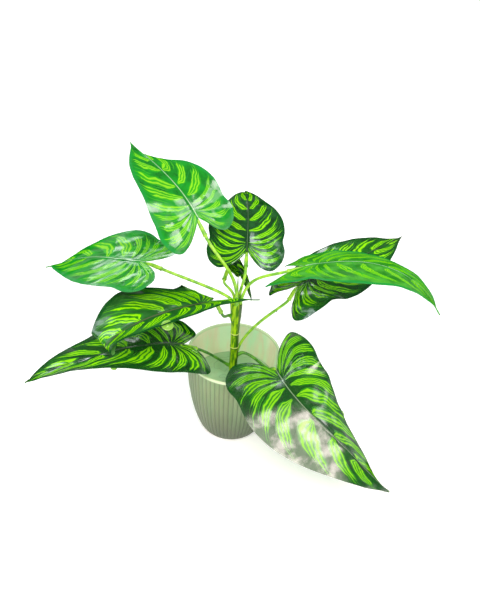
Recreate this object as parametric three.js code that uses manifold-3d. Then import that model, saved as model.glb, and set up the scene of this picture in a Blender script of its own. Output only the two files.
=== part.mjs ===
// A potted alocasia zebrina made the way a moulded house plant is made.
// Nine thin striped blades lie on moulded ribs, the petioles plug into a jointed trunk,
// and the trunk stands in a heavy filling inside a ribbed planter.
// Units are millimetres and +Z is up. The origin is the centre of the planter's foot.

import * as THREE from 'three';
import { mergeVertices } from 'three/addons/utils/BufferGeometryUtils.js';
import Module from 'manifold-3d';

const wasm = await Module();
wasm.setup();

// Planter
const potRadius = 60;
const potHeight = 121;
const potWall = 2.6;
const potFloor = 4;
const potFlutes = 60;
const fluteDepth = 1.1;
const potProfile = [[38, 0], [41, 0.03], [44.5, 0.1], [49.2, 0.22], [53.7, 0.38], [57.6, 0.6],
  [59.7, 0.85], [59.9, 0.965], [potRadius, 1]];
const fluteShare = [0, 0.5, 1, 1, 1, 1, 1, 1, 0];
const insideShares = [1, 0.6, 0.22, potFloor / potHeight];

// Filling
const fillTop = 75;
const fillGap = 0.4;
const fillBevel = 0.6;

// Trunk
const trunkHole = 30;
const trunkSocket = 5.8;
const crownHeight = 200;
const trunkRadius = 5.4;
const trunkProfile = [[5.2, trunkHole + 0.3], [trunkRadius, 76], [5.5, 100], [trunkRadius, 129], [6, 131],
  [5.5, 133], [trunkRadius, 151], [6, 153], [5.5, 155], [5.9, 170], [6.6, 176], [6.6, 184], [7.3, 193],
  [7.5, crownHeight]];
const crownRing = 4.5;
const shootLength = 42;

// Petioles, sleeves and blades
const petioleRadius = 1.8;
const plugGap = 0.3;
const crownHoleDepth = 5;
const sideHoleDepth = 3.4;
const straightEnd = 2.5;
const sleeveRadius = 2.9;
const sleeveLength = 16;
const sleeveSetBack = 6.5;
const sleeveDrop = 2.6;
const sideRibGap = 0.9;
const boreDepth = 9;
const barOverlap = 3;
const cutterReach = 1;
const drillReach = 6;
const bladeThickness = 0.9;
const columnCount = 3;

const degree = Math.PI / 180;
const leafGreen = '#2c6a35';
const brightGreen = '#46a834';

// The right half of a flat blade, in shares of its length, from the notch to the tip
const bladeOutline = [[0, -0.09], [0.065, -0.185], [0.15, -0.28], [0.25, -0.325], [0.335, -0.26],
  [0.37, -0.13], [0.352, 0], [0.368, 0.12], [0.355, 0.26], [0.3, 0.45], [0.215, 0.64], [0.12, 0.81],
  [0.045, 0.92], [0, 1]];
// Where the vein that ends at each of those points leaves the midrib
const veinRoots = [-0.09, -0.045, 0, 0, 0, 0, 0, 0.03, 0.1, 0.24, 0.44, 0.64, 0.83, 1];
const rowCount = bladeOutline.length - 1;
const outlineHalfWidth = 0.375;
const veinBow = 0.16;
// How far behind the notch a lobe takes to bend down by its droop
const droopSpan = 0.2;
// The stretch of the midrib where a tip that is tucked under turns over
const tuckStart = 0.82;
const tuckSpan = 0.06;

// One entry a leaf. base is where its veins meet; the threes are at base, middle and tip.
// heading turns the midrib from +X towards +Y, pitch lifts it and roll lowers its right side.
// fold lifts a half, droop lowers each lobe, curl adds heading, pitch and roll near the tip
// and tuck folds the tip under.
// wave is the margin's height, count and phase, pad the half and vein that carry a round pad.
// A stem leaves the trunk at angle and height, or its crown without one, along lean.
// lead and back say how far it keeps straight there and at its sleeve, which tilt turns down.
const level = [0, 0, 0];
const plainLeaf = {
  roll: level, foldLeft: level, foldRight: level, curl: level, droop: [0, 0], tuck: 0, tilt: 0
};
const leaves = {
  a: {
    base: [-56, 25, 313], length: 120, width: [62, 54], heading: [140, 140, 130], pitch: [45, 20, 5],
    foldLeft: [0, 10, -5], foldRight: [0, -5, -55], curl: [15, 20, 20], droop: [18, 18],
    wave: [1.5, 3, 0.1],
    stem: { radius: 2, angle: 272, lean: [0.02, -0.2, 1], lead: 56, back: 36 }
  },
  b: {
    base: [-125, 20, 240], length: 145, width: [65, 68], heading: [160, 155, 170], pitch: [-10, -22, -45],
    foldRight: [-5, 5, -10], curl: [0, 25, 55], droop: [-8, -8], wave: [1.5, 3, 0.4], tilt: 20,
    stem: { angle: 192, lean: [-0.3, 0, 1], lead: 12, back: 44 }
  },
  c: {
    base: [-41, -42, 228], length: 151, width: [60, 92], heading: [208, 218, 232], pitch: [2, -4, -36],
    roll: [12, 8, 14], foldLeft: [22, 20, 30], foldRight: [-10, 0, 18], curl: [12, 0, -8], tuck: 165,
    droop: [24, 76], wave: [1.2, 3, 0.2], pad: [-1, 9], tilt: 50,
    stem: { height: 181, angle: 215, lean: [-0.5, -0.2, 0.35], lead: 8, back: 13 }
  },
  d: {
    base: [-75, -49, 170], length: 180, width: [42, 66], heading: [210, 202, 198], pitch: [20, -5, -15],
    roll: [0, 10, 8], foldLeft: [-24, 0, 0], curl: [0, -18, 0], droop: [25, 25],
    wave: [1.5, 3, 0.7], pad: [-1, 9], tilt: 10,
    stem: { height: 99, angle: 195, lean: [-0.75, -0.2, 0.66], lead: 18, back: 22 }
  },
  e: {
    base: [9, 46, 257], length: 150, width: [50, 47], heading: [90, 92, 96], pitch: [12, -4, -18],
    foldLeft: [10, 0, 0], foldRight: [10, 0, 0], curl: [0, -10, 0], wave: [1.5, 3, 0.3],
    stem: { angle: 54, lean: [0.06, 0, 1], lead: 25, back: 26 }
  },
  f: {
    base: [-12, 45, 224], length: 128, width: [18, 18], heading: [88, 53, 72], pitch: [-24, -57, -76],
    roll: [15, 35, 38], foldLeft: [35, 0, 0], foldRight: [10, 5, 5], wave: [1, 2, 0], tilt: 40,
    stem: { radius: 1.6, angle: 125, lean: [-0.1, 0.3, 1], lead: 14, back: 10 }
  },
  g: {
    base: [91, -19, 277], length: 161, width: [51, 56], heading: [-8, -22, -44], pitch: [18, -4, -60],
    roll: [-18, -12, -24], foldLeft: [0, -8, -5], foldRight: [0, -5, 20], curl: [0, 12, 18], droop: [22, 28],
    wave: [1.5, 3, 0.5],
    stem: { angle: 346, lean: [0.2, 0, 1], lead: 40, back: 36 }
  },
  h: {
    base: [87, 30, 218], length: 150, width: [59, 53], heading: [34, 32, 42], pitch: [11, 7, 5],
    roll: [0, 10, 0], foldLeft: [-28, -14, 0], foldRight: [4, -6, 12], droop: [26, 46], wave: [1.5, 3, 0.6],
    tilt: 36,
    stem: { height: 119, angle: 48, lean: [0.25, 0.25, 0.77], lead: 37, back: 10 }
  },
  i: {
    base: [60, -71, 142], length: 189, width: [54, 64], heading: [-66, -30, -34], pitch: [-2, -30, -40],
    roll: [10, 16, 0], foldLeft: [9, -29, -15], foldRight: [-8, -19, 0], curl: [36, -2, -3],
    droop: [-28, 14], wave: [1.5, 3, 0.8], pad: [-1, 9], tilt: 45,
    stem: { height: 117, angle: -8, lean: [0.62, 0.11, 0.58], lead: 14, back: 36 }
  }
};

// Smooth curve through evenly spaced points
function through(points, t) {
  const last = points.length - 1;
  const place = Math.min(Math.max(t, 0), 1) * last;
  const i = Math.min(Math.floor(place), last - 1);
  const u = place - i;
  const mirror = (a, b) => [2 * a[0] - b[0], 2 * a[1] - b[1]];
  const p1 = points[i];
  const p2 = points[i + 1];
  const p0 = i > 0 ? points[i - 1] : mirror(p1, p2);
  const p3 = i + 2 <= last ? points[i + 2] : mirror(p2, p1);
  return [0, 1].map((k) => 0.5 * (2 * p1[k] + (p2[k] - p0[k]) * u
    + (2 * p0[k] - 5 * p1[k] + 4 * p2[k] - p3[k]) * u * u
    + (3 * p1[k] - p0[k] - 3 * p2[k] + p3[k]) * u ** 3));
}

// Quadratic through a value at the base, the middle and the tip
function along(values, s) {
  const t = Math.max(s, 0);
  return values[0] * (1 - t) * (1 - 2 * t) + values[1] * 4 * t * (1 - t) + values[2] * t * (2 * t - 1);
}

// A point of the flat right half: a goes round the outline, b from midrib to margin
function flatPoint(a, b) {
  const margin = through(bladeOutline, a);
  const place = Math.min(a, 1) * (veinRoots.length - 1);
  const i = Math.min(Math.floor(place), veinRoots.length - 2);
  const root = veinRoots[i] + (veinRoots[i + 1] - veinRoots[i]) * (place - i);
  const span = Math.hypot(margin[0], margin[1] - root);
  const bow = veinBow * span * Math.min(a / 0.35, 1);
  const midX = margin[0] / 2;
  const midY = (root + margin[1]) / 2 - bow;
  return [2 * b * (1 - b) * midX + b * b * margin[0],
    (1 - b) ** 2 * root + 2 * b * (1 - b) * midY + b * b * margin[1]];
}

// The bent blade: its midrib is walked in short steps both ways from the base
class LeafShape {
  constructor(spec) {
    this.spec = spec;
    this.step = 0.025;
    this.ahead = this.walk(1, 1);
    this.behind = { '1': this.walk(-1, 1), '-1': this.walk(-1, -1) };
  }

  walk(way, hand) {
    const path = [new THREE.Vector3(...this.spec.base)];
    for (let k = 0; k < 42; k++) {
      const t = this.tangent(way * (k + 0.5) * this.step, hand);
      path.push(path[k].clone().addScaledVector(t, way * this.step * this.spec.length));
    }
    return path;
  }

  tipShare(s) {
    return Math.max(0, (s - 0.7) / 0.3) ** 2;
  }

  // How far a tucked tip has turned over
  tuckShare(s) {
    return Math.min(Math.max((s - tuckStart) / tuckSpan, 0), 1);
  }

  // Behind the notch each lobe bends down by its own droop
  tangent(s, hand = 1) {
    const h = (along(this.spec.heading, s) + this.spec.curl[0] * this.tipShare(s)) * degree;
    const lobeShare = Math.min(Math.max((bladeOutline[0][1] - s) / droopSpan, 0), 1);
    const droop = this.spec.droop[hand < 0 ? 0 : 1] * lobeShare;
    const tuck = this.spec.tuck * this.tuckShare(s);
    const p = (along(this.spec.pitch, s) + this.spec.curl[1] * this.tipShare(s) + droop - tuck) * degree;
    return new THREE.Vector3(Math.cos(p) * Math.cos(h), Math.cos(p) * Math.sin(h), Math.sin(p));
  }

  frame(s, hand = 1) {
    const h = (along(this.spec.heading, s) + this.spec.curl[0] * this.tipShare(s)) * degree;
    const r = (along(this.spec.roll, s) + this.spec.curl[2] * this.tipShare(s)) * degree;
    const side = new THREE.Vector3(Math.sin(h), -Math.cos(h), 0);
    const up = side.clone().cross(this.tangent(s, hand));
    return {
      side: side.clone().multiplyScalar(Math.cos(r)).addScaledVector(up, -Math.sin(r)),
      up: side.clone().multiplyScalar(Math.sin(r)).addScaledVector(up, Math.cos(r))
    };
  }

  centre(s, hand = 1) {
    const list = s < 0 ? this.behind[hand] : this.ahead;
    const place = Math.abs(s) / this.step;
    const i = Math.min(Math.floor(place), list.length - 2);
    return list[i].clone().lerp(list[i + 1], place - i);
  }

  // hand is 1 for the right half and -1 for the left
  point(hand, a, b) {
    const [x, y] = flatPoint(a, b);
    const halfWidth = this.spec.width[hand < 0 ? 0 : 1];
    const reach = Math.abs(x) * halfWidth / outlineHalfWidth;
    const over = this.spec.tuck ? this.tuckShare(y) : 0;
    const fold = along(hand < 0 ? this.spec.foldLeft : this.spec.foldRight, y) * (1 - 2 * over) * degree;
    const [height, count, phase] = this.spec.wave;
    const wave = height * b * b * Math.sin(2 * Math.PI * (count * a + phase + (hand < 0 ? 0.3 : 0)));
    const { side, up } = this.frame(y, hand);
    return this.centre(y, hand).addScaledVector(side, hand * reach * Math.cos(fold))
      .addScaledVector(up, reach * Math.sin(fold) + wave);
  }
}

// The blade's middle surface as points and triangles, with the midrib shared by both halves
function bladeNet(shape) {
  const points = [];
  const triangles = [];
  const add = (p) => points.push(p) - 1;
  const notch = add(shape.point(1, 0, 0));
  const tip = add(shape.point(1, 1, 0));
  const midrib = [];
  for (let i = 0; i <= rowCount; i++) {
    if (i === 0) midrib.push(notch);
    else if (i === rowCount) midrib.push(tip);
    else if (veinRoots[i] === veinRoots[i - 1]) midrib.push(midrib[i - 1]);
    else midrib.push(add(shape.centre(veinRoots[i])));
  }
  const net = { points, triangles, midrib, rows: {}, edge: [] };
  for (const hand of [1, -1]) {
    const rows = [];
    for (let i = 0; i <= rowCount; i++) {
      const row = [midrib[i]];
      for (let j = 1; j <= columnCount; j++) {
        if (i === 0) row.push(notch);
        else if (i === rowCount) row.push(tip);
        else row.push(add(shape.point(hand, i / rowCount, j / columnCount)));
      }
      rows.push(row);
    }
    const face = (p, q, r) => {
      if (p === q || q === r || r === p) return;
      triangles.push(hand > 0 ? [p, q, r] : [p, r, q]);
    };
    for (let i = 0; i < rowCount; i++) {
      for (let j = 0; j < columnCount; j++) {
        const [p, q, r, s] = [rows[i][j], rows[i][j + 1], rows[i + 1][j + 1], rows[i + 1][j]];
        face(p, q, r);
        face(p, r, s);
      }
    }
    net.rows[hand] = rows;
  }
  for (let i = 0; i <= rowCount; i++) net.edge.push(net.rows[1][i][columnCount]);
  for (let i = rowCount - 1; i > 0; i--) net.edge.push(net.rows[-1][i][columnCount]);
  net.normals = points.map(() => new THREE.Vector3());
  for (const [p, q, r] of triangles) {
    const n = points[q].clone().sub(points[p]).cross(points[r].clone().sub(points[p]));
    for (const k of [p, q, r]) net.normals[k].add(n);
  }
  for (const n of net.normals) n.normalize();
  return net;
}

// A geometry from a list of points and a list of triangles
function meshFrom(points, triangles) {
  const geometry = new THREE.BufferGeometry();
  const numbers = points.flatMap((p) => [p.x, p.y, p.z]);
  geometry.setAttribute('position', new THREE.Float32BufferAttribute(numbers, 3));
  geometry.setIndex(triangles.flat());
  return geometry;
}

// A blade: the middle surface thickened to both sides, with walls round its edge
function bladeGeometry(net) {
  const count = net.points.length;
  const half = bladeThickness / 2;
  const top = net.points.map((p, k) => p.clone().addScaledVector(net.normals[k], half));
  const under = net.points.map((p, k) => p.clone().addScaledVector(net.normals[k], -half));
  const triangles = [];
  for (const [p, q, r] of net.triangles) {
    triangles.push([p, q, r], [p + count, r + count, q + count]);
  }
  net.edge.forEach((p, k) => {
    const q = net.edge[(k + 1) % net.edge.length];
    triangles.push([p, p + count, q + count], [p, q + count, q]);
  });
  return meshFrom([...top, ...under], triangles);
}

// Cleaned geometry to solid and back
function solid(geometry) {
  const bare = geometry.clone();
  for (const name of ['normal', 'uv']) bare.deleteAttribute(name);
  const merged = mergeVertices(bare, 1e-4);
  return new wasm.Manifold(new wasm.Mesh({
    numProp: 3,
    vertProperties: new Float32Array(merged.attributes.position.array),
    triVerts: new Uint32Array(merged.index.array)
  }));
}

function fromSolid(body) {
  const mesh = body.getMesh();
  const geometry = new THREE.BufferGeometry();
  geometry.setAttribute('position', new THREE.Float32BufferAttribute(Array.from(mesh.vertProperties), 3));
  geometry.setIndex(Array.from(mesh.triVerts));
  return geometry;
}

// A bar with a five sided section whose ridge faces the blade above it
function barGeometry(stations) {
  const section = [[0, 1], [1, -0.1], [0.55, -1], [-0.55, -1], [-1, -0.1]];
  const points = [];
  const triangles = [];
  stations.forEach(({ at, up, half, deep }, k) => {
    const before = stations[Math.max(k - 1, 0)].at;
    const after = stations[Math.min(k + 1, stations.length - 1)].at;
    const side = after.clone().sub(before).cross(up).normalize();
    for (const [x, y] of section) {
      points.push(at.clone().addScaledVector(side, x * half).addScaledVector(up, y * deep));
    }
  });
  const n = section.length;
  for (let k = 0; k + 1 < stations.length; k++) {
    for (let i = 0; i < n; i++) {
      const j = (i + 1) % n;
      const [p, q, r, s] = [k * n + i, k * n + j, (k + 1) * n + j, (k + 1) * n + i];
      triangles.push([p, q, r], [p, r, s]);
    }
  }
  const end = (stations.length - 1) * n;
  for (let i = 1; i + 1 < n; i++) {
    triangles.push([0, i + 1, i], [end, end + i, end + i + 1]);
  }
  return meshFrom(points, triangles);
}

// A straight round rod between two points
function rodGeometry(from, to, radius, sides = 10) {
  const length = from.distanceTo(to);
  const geometry = new THREE.CylinderGeometry(radius, radius, length, sides);
  const turn = new THREE.Quaternion().setFromUnitVectors(new THREE.Vector3(0, 1, 0),
    to.clone().sub(from).normalize());
  geometry.applyQuaternion(turn);
  const middle = from.clone().add(to).multiplyScalar(0.5);
  return geometry.translate(middle.x, middle.y, middle.z);
}

// Where the bar under a blade runs, a fixed gap below one of the blade's own points
function underBlade(net, index, half, deep, gap = plugGap) {
  const drop = bladeThickness / 2 + gap + deep;
  const up = net.normals[index];
  return { at: net.points[index].clone().addScaledVector(up, -drop), up, half, deep };
}

// The sleeve's axis, just behind the blade's notch
function sleevePlace(shape) {
  const s = bladeOutline[0][1] - sleeveSetBack / shape.spec.length;
  const flatTangent = shape.tangent(s);
  const { up } = shape.frame(s);
  const tilt = shape.spec.tilt * degree;
  const tangent = flatTangent.clone().multiplyScalar(Math.cos(tilt)).addScaledVector(up, Math.sin(tilt));
  const front = shape.centre(s).addScaledVector(up, -sleeveDrop);
  return { front, tangent, back: front.clone().addScaledVector(tangent, -sleeveLength), up };
}

// The moulded backing of one leaf: sleeve, midrib bar, four side bars and sometimes a round pad
function ribGeometry(shape, net, spec) {
  const sleeve = sleevePlace(shape);
  const ids = [1, 3, 7, 8, 9, 10, 11].map((i) => net.midrib[i]);
  const sizes = [1.5, 1.5, 1.4, 1.3, 1.15, 0.95, 0.75];
  const first = sleeve.front.clone().addScaledVector(sleeve.tangent, -barOverlap);
  const stations = [{ at: first, up: sleeve.up, half: 1.5, deep: 1.1 }];
  ids.forEach((id, k) => stations.push(underBlade(net, id, sizes[k], sizes[k] * 0.75)));
  let body = solid(barGeometry(stations));
  for (const hand of [1, -1]) {
    for (const [i, columns] of [[3, [0, 1]], [9, [0, 1, 2]]]) {
      const row = net.rows[hand][i];
      const bar = columns.map((j) => underBlade(net, row[j], 0.8 - 0.1 * j, 0.6 - 0.05 * j, sideRibGap));
      body = body.add(solid(barGeometry(bar)));
    }
  }
  if (spec.pad) {
    const row = net.rows[spec.pad[0]][spec.pad[1]];
    const bar = [0, 1, 2, 3].map((j) => underBlade(net, row[j], 0.7, 0.5, sideRibGap));
    const end = bar[3];
    const low = end.at.clone().addScaledVector(end.up, -0.6);
    const high = end.at.clone().addScaledVector(end.up, 0.2);
    body = body.add(solid(barGeometry(bar))).add(solid(rodGeometry(low, high, 3.5, 12)));
  }
  body = body.add(solid(rodGeometry(sleeve.back, sleeve.front, sleeveRadius)));
  const mouth = sleeve.back.clone().addScaledVector(sleeve.tangent, -cutterReach);
  const bottom = sleeve.back.clone().addScaledVector(sleeve.tangent, boreDepth);
  body = body.subtract(solid(rodGeometry(mouth, bottom, spec.stem.radius + plugGap, 12)));
  return fromSolid(body);
}

// A petiole's course: straight in the trunk's hole, a free bend, straight in the sleeve
function petiolePlace(shape, stem) {
  const lean = new THREE.Vector3(...stem.lean).normalize();
  const turn = stem.angle * degree;
  const crown = stem.height === undefined;
  const ring = crown ? crownRing : trunkRadius;
  const height = crown ? crownHeight : stem.height;
  const inside = crown ? crownHoleDepth : sideHoleDepth;
  const mouth = new THREE.Vector3(ring * Math.cos(turn), ring * Math.sin(turn), height);
  const sleeve = sleevePlace(shape);
  return {
    lean,
    mouth,
    root: mouth.clone().addScaledVector(lean, -inside),
    socket: sleeve.back,
    tangent: sleeve.tangent
  };
}

function petioleGeometry(place, stem) {
  const { root, mouth, lean, socket, tangent } = place;
  const start = root.clone().addScaledVector(lean, plugGap);
  const leave = mouth.clone().addScaledVector(lean, straightEnd);
  const end = socket.clone().addScaledVector(tangent, boreDepth - plugGap);
  const course = new THREE.CurvePath();
  course.add(new THREE.LineCurve3(start, leave));
  course.add(new THREE.CubicBezierCurve3(leave, leave.clone().addScaledVector(lean, stem.lead),
    socket.clone().addScaledVector(tangent, -stem.back), socket));
  course.add(new THREE.LineCurve3(socket, end));
  const round = new THREE.Shape();
  const sides = 7;
  for (let k = 0; k < sides; k++) {
    const turn = 2 * Math.PI * k / sides;
    const [x, y] = [stem.radius * Math.cos(turn), stem.radius * Math.sin(turn)];
    if (k === 0) round.moveTo(x, y);
    else round.lineTo(x, y);
  }
  const steps = Math.max(9, Math.round(course.getLength() / 9));
  return new THREE.ExtrudeGeometry(round, { steps, bevelEnabled: false, extrudePath: course });
}

// Planter wall radius by height, outside and inside
function potOutside(share) {
  for (let k = 0; k + 1 < potProfile.length; k++) {
    const [r0, h0] = potProfile[k];
    const [r1, h1] = potProfile[k + 1];
    if (share <= h1) return r0 + (r1 - r0) * (share - h0) / (h1 - h0);
  }
  return potRadius;
}

function potInside(share) {
  return potOutside(share) - potWall;
}

// The planter: fluted outside, plain inside, closed at the bottom
function potGeometry() {
  const count = potFlutes * 2;
  const points = [];
  const rings = [];
  const ring = (radius, z, flute) => {
    const ids = [];
    for (let k = 0; k < count; k++) {
      const r = radius - (k % 2 ? flute : 0);
      const turn = 2 * Math.PI * k / count;
      ids.push(points.push(new THREE.Vector3(r * Math.cos(turn), r * Math.sin(turn), z)) - 1);
    }
    rings.push(ids);
  };
  potProfile.forEach(([r, share], k) => ring(r, share * potHeight, fluteDepth * fluteShare[k]));
  for (const share of insideShares) ring(potInside(share), share * potHeight, 0);
  const triangles = [];
  for (let m = 0; m + 1 < rings.length; m++) {
    const [low, high] = [rings[m], rings[m + 1]];
    for (let k = 0; k < count; k++) {
      const n = (k + 1) % count;
      triangles.push([low[k], low[n], high[n]], [low[k], high[n], high[k]]);
    }
  }
  const foot = points.push(new THREE.Vector3(0, 0, 0)) - 1;
  const floor = points.push(new THREE.Vector3(0, 0, potFloor)) - 1;
  const last = rings[rings.length - 1];
  for (let k = 0; k < count; k++) {
    const n = (k + 1) % count;
    triangles.push([foot, rings[0][n], rings[0][k]], [floor, last[k], last[n]]);
  }
  return meshFrom(points, triangles);
}

// A body turned round the Z axis from a profile of [radius, height]
function turned(profile, sides) {
  const geometry = new THREE.LatheGeometry(profile.map(([r, z]) => new THREE.Vector2(r, z)), sides);
  return geometry.rotateX(Math.PI / 2);
}

// The filling, with a blind hole for the trunk
function fillingGeometry() {
  const shares = insideShares.slice(1).reverse();
  const wall = shares.map((share) => [potInside(share) - fillGap, share * potHeight]);
  wall[0][1] += plugGap;
  const topRadius = wall[wall.length - 1][0] - fillBevel;
  const profile = [[0, potFloor + plugGap], ...wall, [topRadius, fillTop],
    [trunkSocket, fillTop], [trunkSocket, trunkHole], [0, trunkHole]];
  return turned(profile, 48);
}

// The trunk with its rings and young shoot, drilled for every petiole
function trunkGeometry(places) {
  const shoot = [[1.3, 0.5], [0.9, 0.85], [0, 1]];
  const profile = [[0, trunkProfile[0][1]], ...trunkProfile, [6.9, crownHeight + 0.5],
    [1.5, crownHeight + 0.5], ...shoot.map(([r, share]) => [r, crownHeight + shootLength * share])];
  let body = solid(turned(profile, 16));
  for (const { place, radius } of places) {
    const out = place.mouth.clone().addScaledVector(place.lean, drillReach);
    body = body.subtract(solid(rodGeometry(place.root, out, radius + plugGap, 10)));
  }
  return fromSolid(body);
}

const plant = new THREE.Group();

function addPiece(name, geometry, color, roughness) {
  const material = new THREE.MeshStandardMaterial({ color, roughness, metalness: 0 });
  const mesh = new THREE.Mesh(geometry, material);
  mesh.name = name;
  plant.add(mesh);
}

addPiece('pot', potGeometry(), '#c3cfae', 0.55);
addPiece('filling', fillingGeometry(), '#a9bda6', 0.9);

const places = [];
for (const [letter, entry] of Object.entries(leaves)) {
  const spec = { ...plainLeaf, ...entry, stem: { radius: petioleRadius, ...entry.stem } };
  const shape = new LeafShape(spec);
  const net = bladeNet(shape);
  const place = petiolePlace(shape, spec.stem);
  places.push({ place, radius: spec.stem.radius });
  const bright = 'abg'.includes(letter);
  addPiece(`blade_${letter}`, bladeGeometry(net), bright ? brightGreen : leafGreen, 0.25);
  addPiece(`rib_${letter}`, ribGeometry(shape, net, spec), '#8fbf5a', 0.5);
  addPiece(`petiole_${letter}`, petioleGeometry(place, spec.stem), '#9ccb3f', 0.45);
}
addPiece('trunk', trunkGeometry(places), '#8fae3c', 0.5);

export default plant;
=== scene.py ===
import math
import bpy
import numpy as np
from mathutils import Matrix, Vector


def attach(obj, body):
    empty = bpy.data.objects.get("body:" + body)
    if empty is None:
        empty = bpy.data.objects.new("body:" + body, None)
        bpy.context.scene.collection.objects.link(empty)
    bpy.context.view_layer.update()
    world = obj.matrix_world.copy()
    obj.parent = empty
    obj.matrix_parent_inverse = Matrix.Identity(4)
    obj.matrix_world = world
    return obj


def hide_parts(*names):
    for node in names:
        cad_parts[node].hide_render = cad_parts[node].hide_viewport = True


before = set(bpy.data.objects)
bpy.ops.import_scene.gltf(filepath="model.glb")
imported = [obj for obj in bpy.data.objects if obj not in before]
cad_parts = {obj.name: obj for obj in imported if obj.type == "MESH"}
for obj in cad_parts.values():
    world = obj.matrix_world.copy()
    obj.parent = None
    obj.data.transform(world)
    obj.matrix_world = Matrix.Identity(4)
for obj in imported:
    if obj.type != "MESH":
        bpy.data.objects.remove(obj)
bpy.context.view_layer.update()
print("frame loaded:", len(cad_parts), "nodes")

scene = bpy.context.scene
mm = 0.001
degree = math.pi / 180

# Camera, in mm and degrees, clipping in metres
viewpoint = {
    "place": (4.1, -810.0, 817.7),
    "pitchDown": 37.125,
    "roll": 3.2,
    "lens": 50.0,
    "sensor": 36.0,
    "clip": (0.05, 60),
}


def makeCamera():
    data = bpy.data.cameras.new("photoCamera")
    data.lens = viewpoint["lens"]
    data.sensor_width = viewpoint["sensor"]
    data.clip_start, data.clip_end = viewpoint["clip"]
    camera = bpy.data.objects.new("photoCamera", data)
    scene.collection.objects.link(camera)
    pitch, roll = viewpoint["pitchDown"] * degree, viewpoint["roll"] * degree
    right = Vector((1, 0, 0))
    up = Vector((0, math.sin(pitch), math.cos(pitch)))
    back = right.cross(up)
    turned = Matrix.Rotation(roll, 3, back)
    axes = Matrix((turned @ right, turned @ up, back)).transposed().to_4x4()
    camera.matrix_world = Matrix.Translation(Vector(viewpoint["place"]) * mm) @ axes
    scene.camera = camera


# Studio, in metres and degrees. Glows light the plant evenly and aren't mirrored by the leaves,
# softboxes are. Glows are (name, energy, angle, turn), softboxes are (name, way to it from the plant,
# how far off, size, power, colour)
studio = {
    "floorColor": (0.93, 0.93, 0.92),
    "floorGlow": 0.3,
    "floorRough": 0.8,
    "floorRadius": 14,
    "floorSides": 96,
    "skyColor": (1.0, 1.0, 1.0),
    "skyStrength": 0.07,
    "horizonStrength": 0.85,
    "horizonFade": (0.19, 0.3),
    "middle": (0, 0, 0.2),
    "glows": [
        ("frontGlow", 1.3, 70, (46, -6)),
        ("backGlow", 0.8, 110, (-25, 14)),
    ],
    "softboxes": [
        ("boxFront", (0.04, -0.64, 0.77), 1.7, (1.6, 0.8), 36, (1.0, 0.87, 0.82)),
        ("boxRight", (0.8, 0.2, 0.56), 1.7, (0.65, 0.55), 5, (1.0, 0.96, 0.94)),
        ("boxBack", (-0.33, 0.56, 0.77), 1.8, (0.7, 0.5), 5.5, (0.9, 0.97, 1.0)),
        ("boxLeft", (-0.62, 0.39, 0.68), 1.8, (0.8, 0.7), 8, (0.84, 0.95, 1.0)),
        ("boxLow", (-0.32, 0.89, 0.33), 1.9, (0.55, 0.24), 1.8, (0.92, 1.0, 0.98)),
    ],
}


def addLamp(kind, name):
    data = bpy.data.lights.new(name, kind)
    lamp = bpy.data.objects.new(name, data)
    scene.collection.objects.link(lamp)
    return data, lamp


def makeLights():
    for name, energy, angle, turn in studio["glows"]:
        data, lamp = addLamp("SUN", name)
        data.energy, data.angle = energy, angle * degree
        lamp.rotation_euler = (turn[0] * degree, turn[1] * degree, 0)
        lamp.visible_glossy = False
    for name, way, reach, size, power, color in studio["softboxes"]:
        data, lamp = addLamp("AREA", name)
        data.shape = "RECTANGLE"
        data.size, data.size_y = size
        data.energy, data.color = power, color
        toward = Vector(way).normalized()
        lamp.location = Vector(studio["middle"]) + toward * reach
        lamp.rotation_mode = "QUATERNION"
        lamp.rotation_quaternion = toward.to_track_quat("Z", "Y")


# The world is bright along the horizon, for a pale backdrop, and dim overhead
def makeWorld():
    world = bpy.data.worlds.new("studioWorld")
    world.use_nodes = True
    desk = ShaderDesk(world.node_tree)
    height = desk.split(desk.take("ShaderNodeTexCoord", "Generated"))[2]
    strength = desk.ease(height, *studio["horizonFade"], studio["horizonStrength"], studio["skyStrength"])
    desk.feed(world.node_tree.nodes["Background"], Color=studio["skyColor"], Strength=strength)
    scene.world = world
    scene.view_settings.view_transform = "Standard"
    scene.view_settings.look = "None"


def makeFloor():
    sides = studio["floorSides"]
    mesh = bpy.data.meshes.new("studioFloor")
    points = ringPoints(studio["floorRadius"], 0.0, ringTurn(sides))
    mesh.from_pydata(points.tolist(), [], [list(range(sides))])
    material, desk, shader = newMaterial("paleFloor")
    desk.feed(shader, Base_Color=studio["floorColor"], Roughness=studio["floorRough"],
              Emission_Color=studio["floorColor"], Emission_Strength=studio["floorGlow"])
    mesh.materials.append(material)
    floor = bpy.data.objects.new("studioFloor", mesh)
    scene.collection.objects.link(floor)


def operator(operation):
    return lambda *signals: signals[0].desk.calc(operation, *signals)


# A value in a shader tree. Its operators add math nodes, so that a formula reads as one
class Signal:
    __add__, __sub__ = operator("ADD"), operator("SUBTRACT")
    __mul__, __truediv__ = operator("MULTIPLY"), operator("DIVIDE")
    __pow__, __gt__ = operator("POWER"), operator("GREATER_THAN")
    __abs__, __floor__ = operator("ABSOLUTE"), operator("FLOOR")

    def __init__(self, desk, socket):
        self.desk, self.socket = desk, socket

    def __rsub__(self, other):
        return self.desk.calc("SUBTRACT", other, self)


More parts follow.
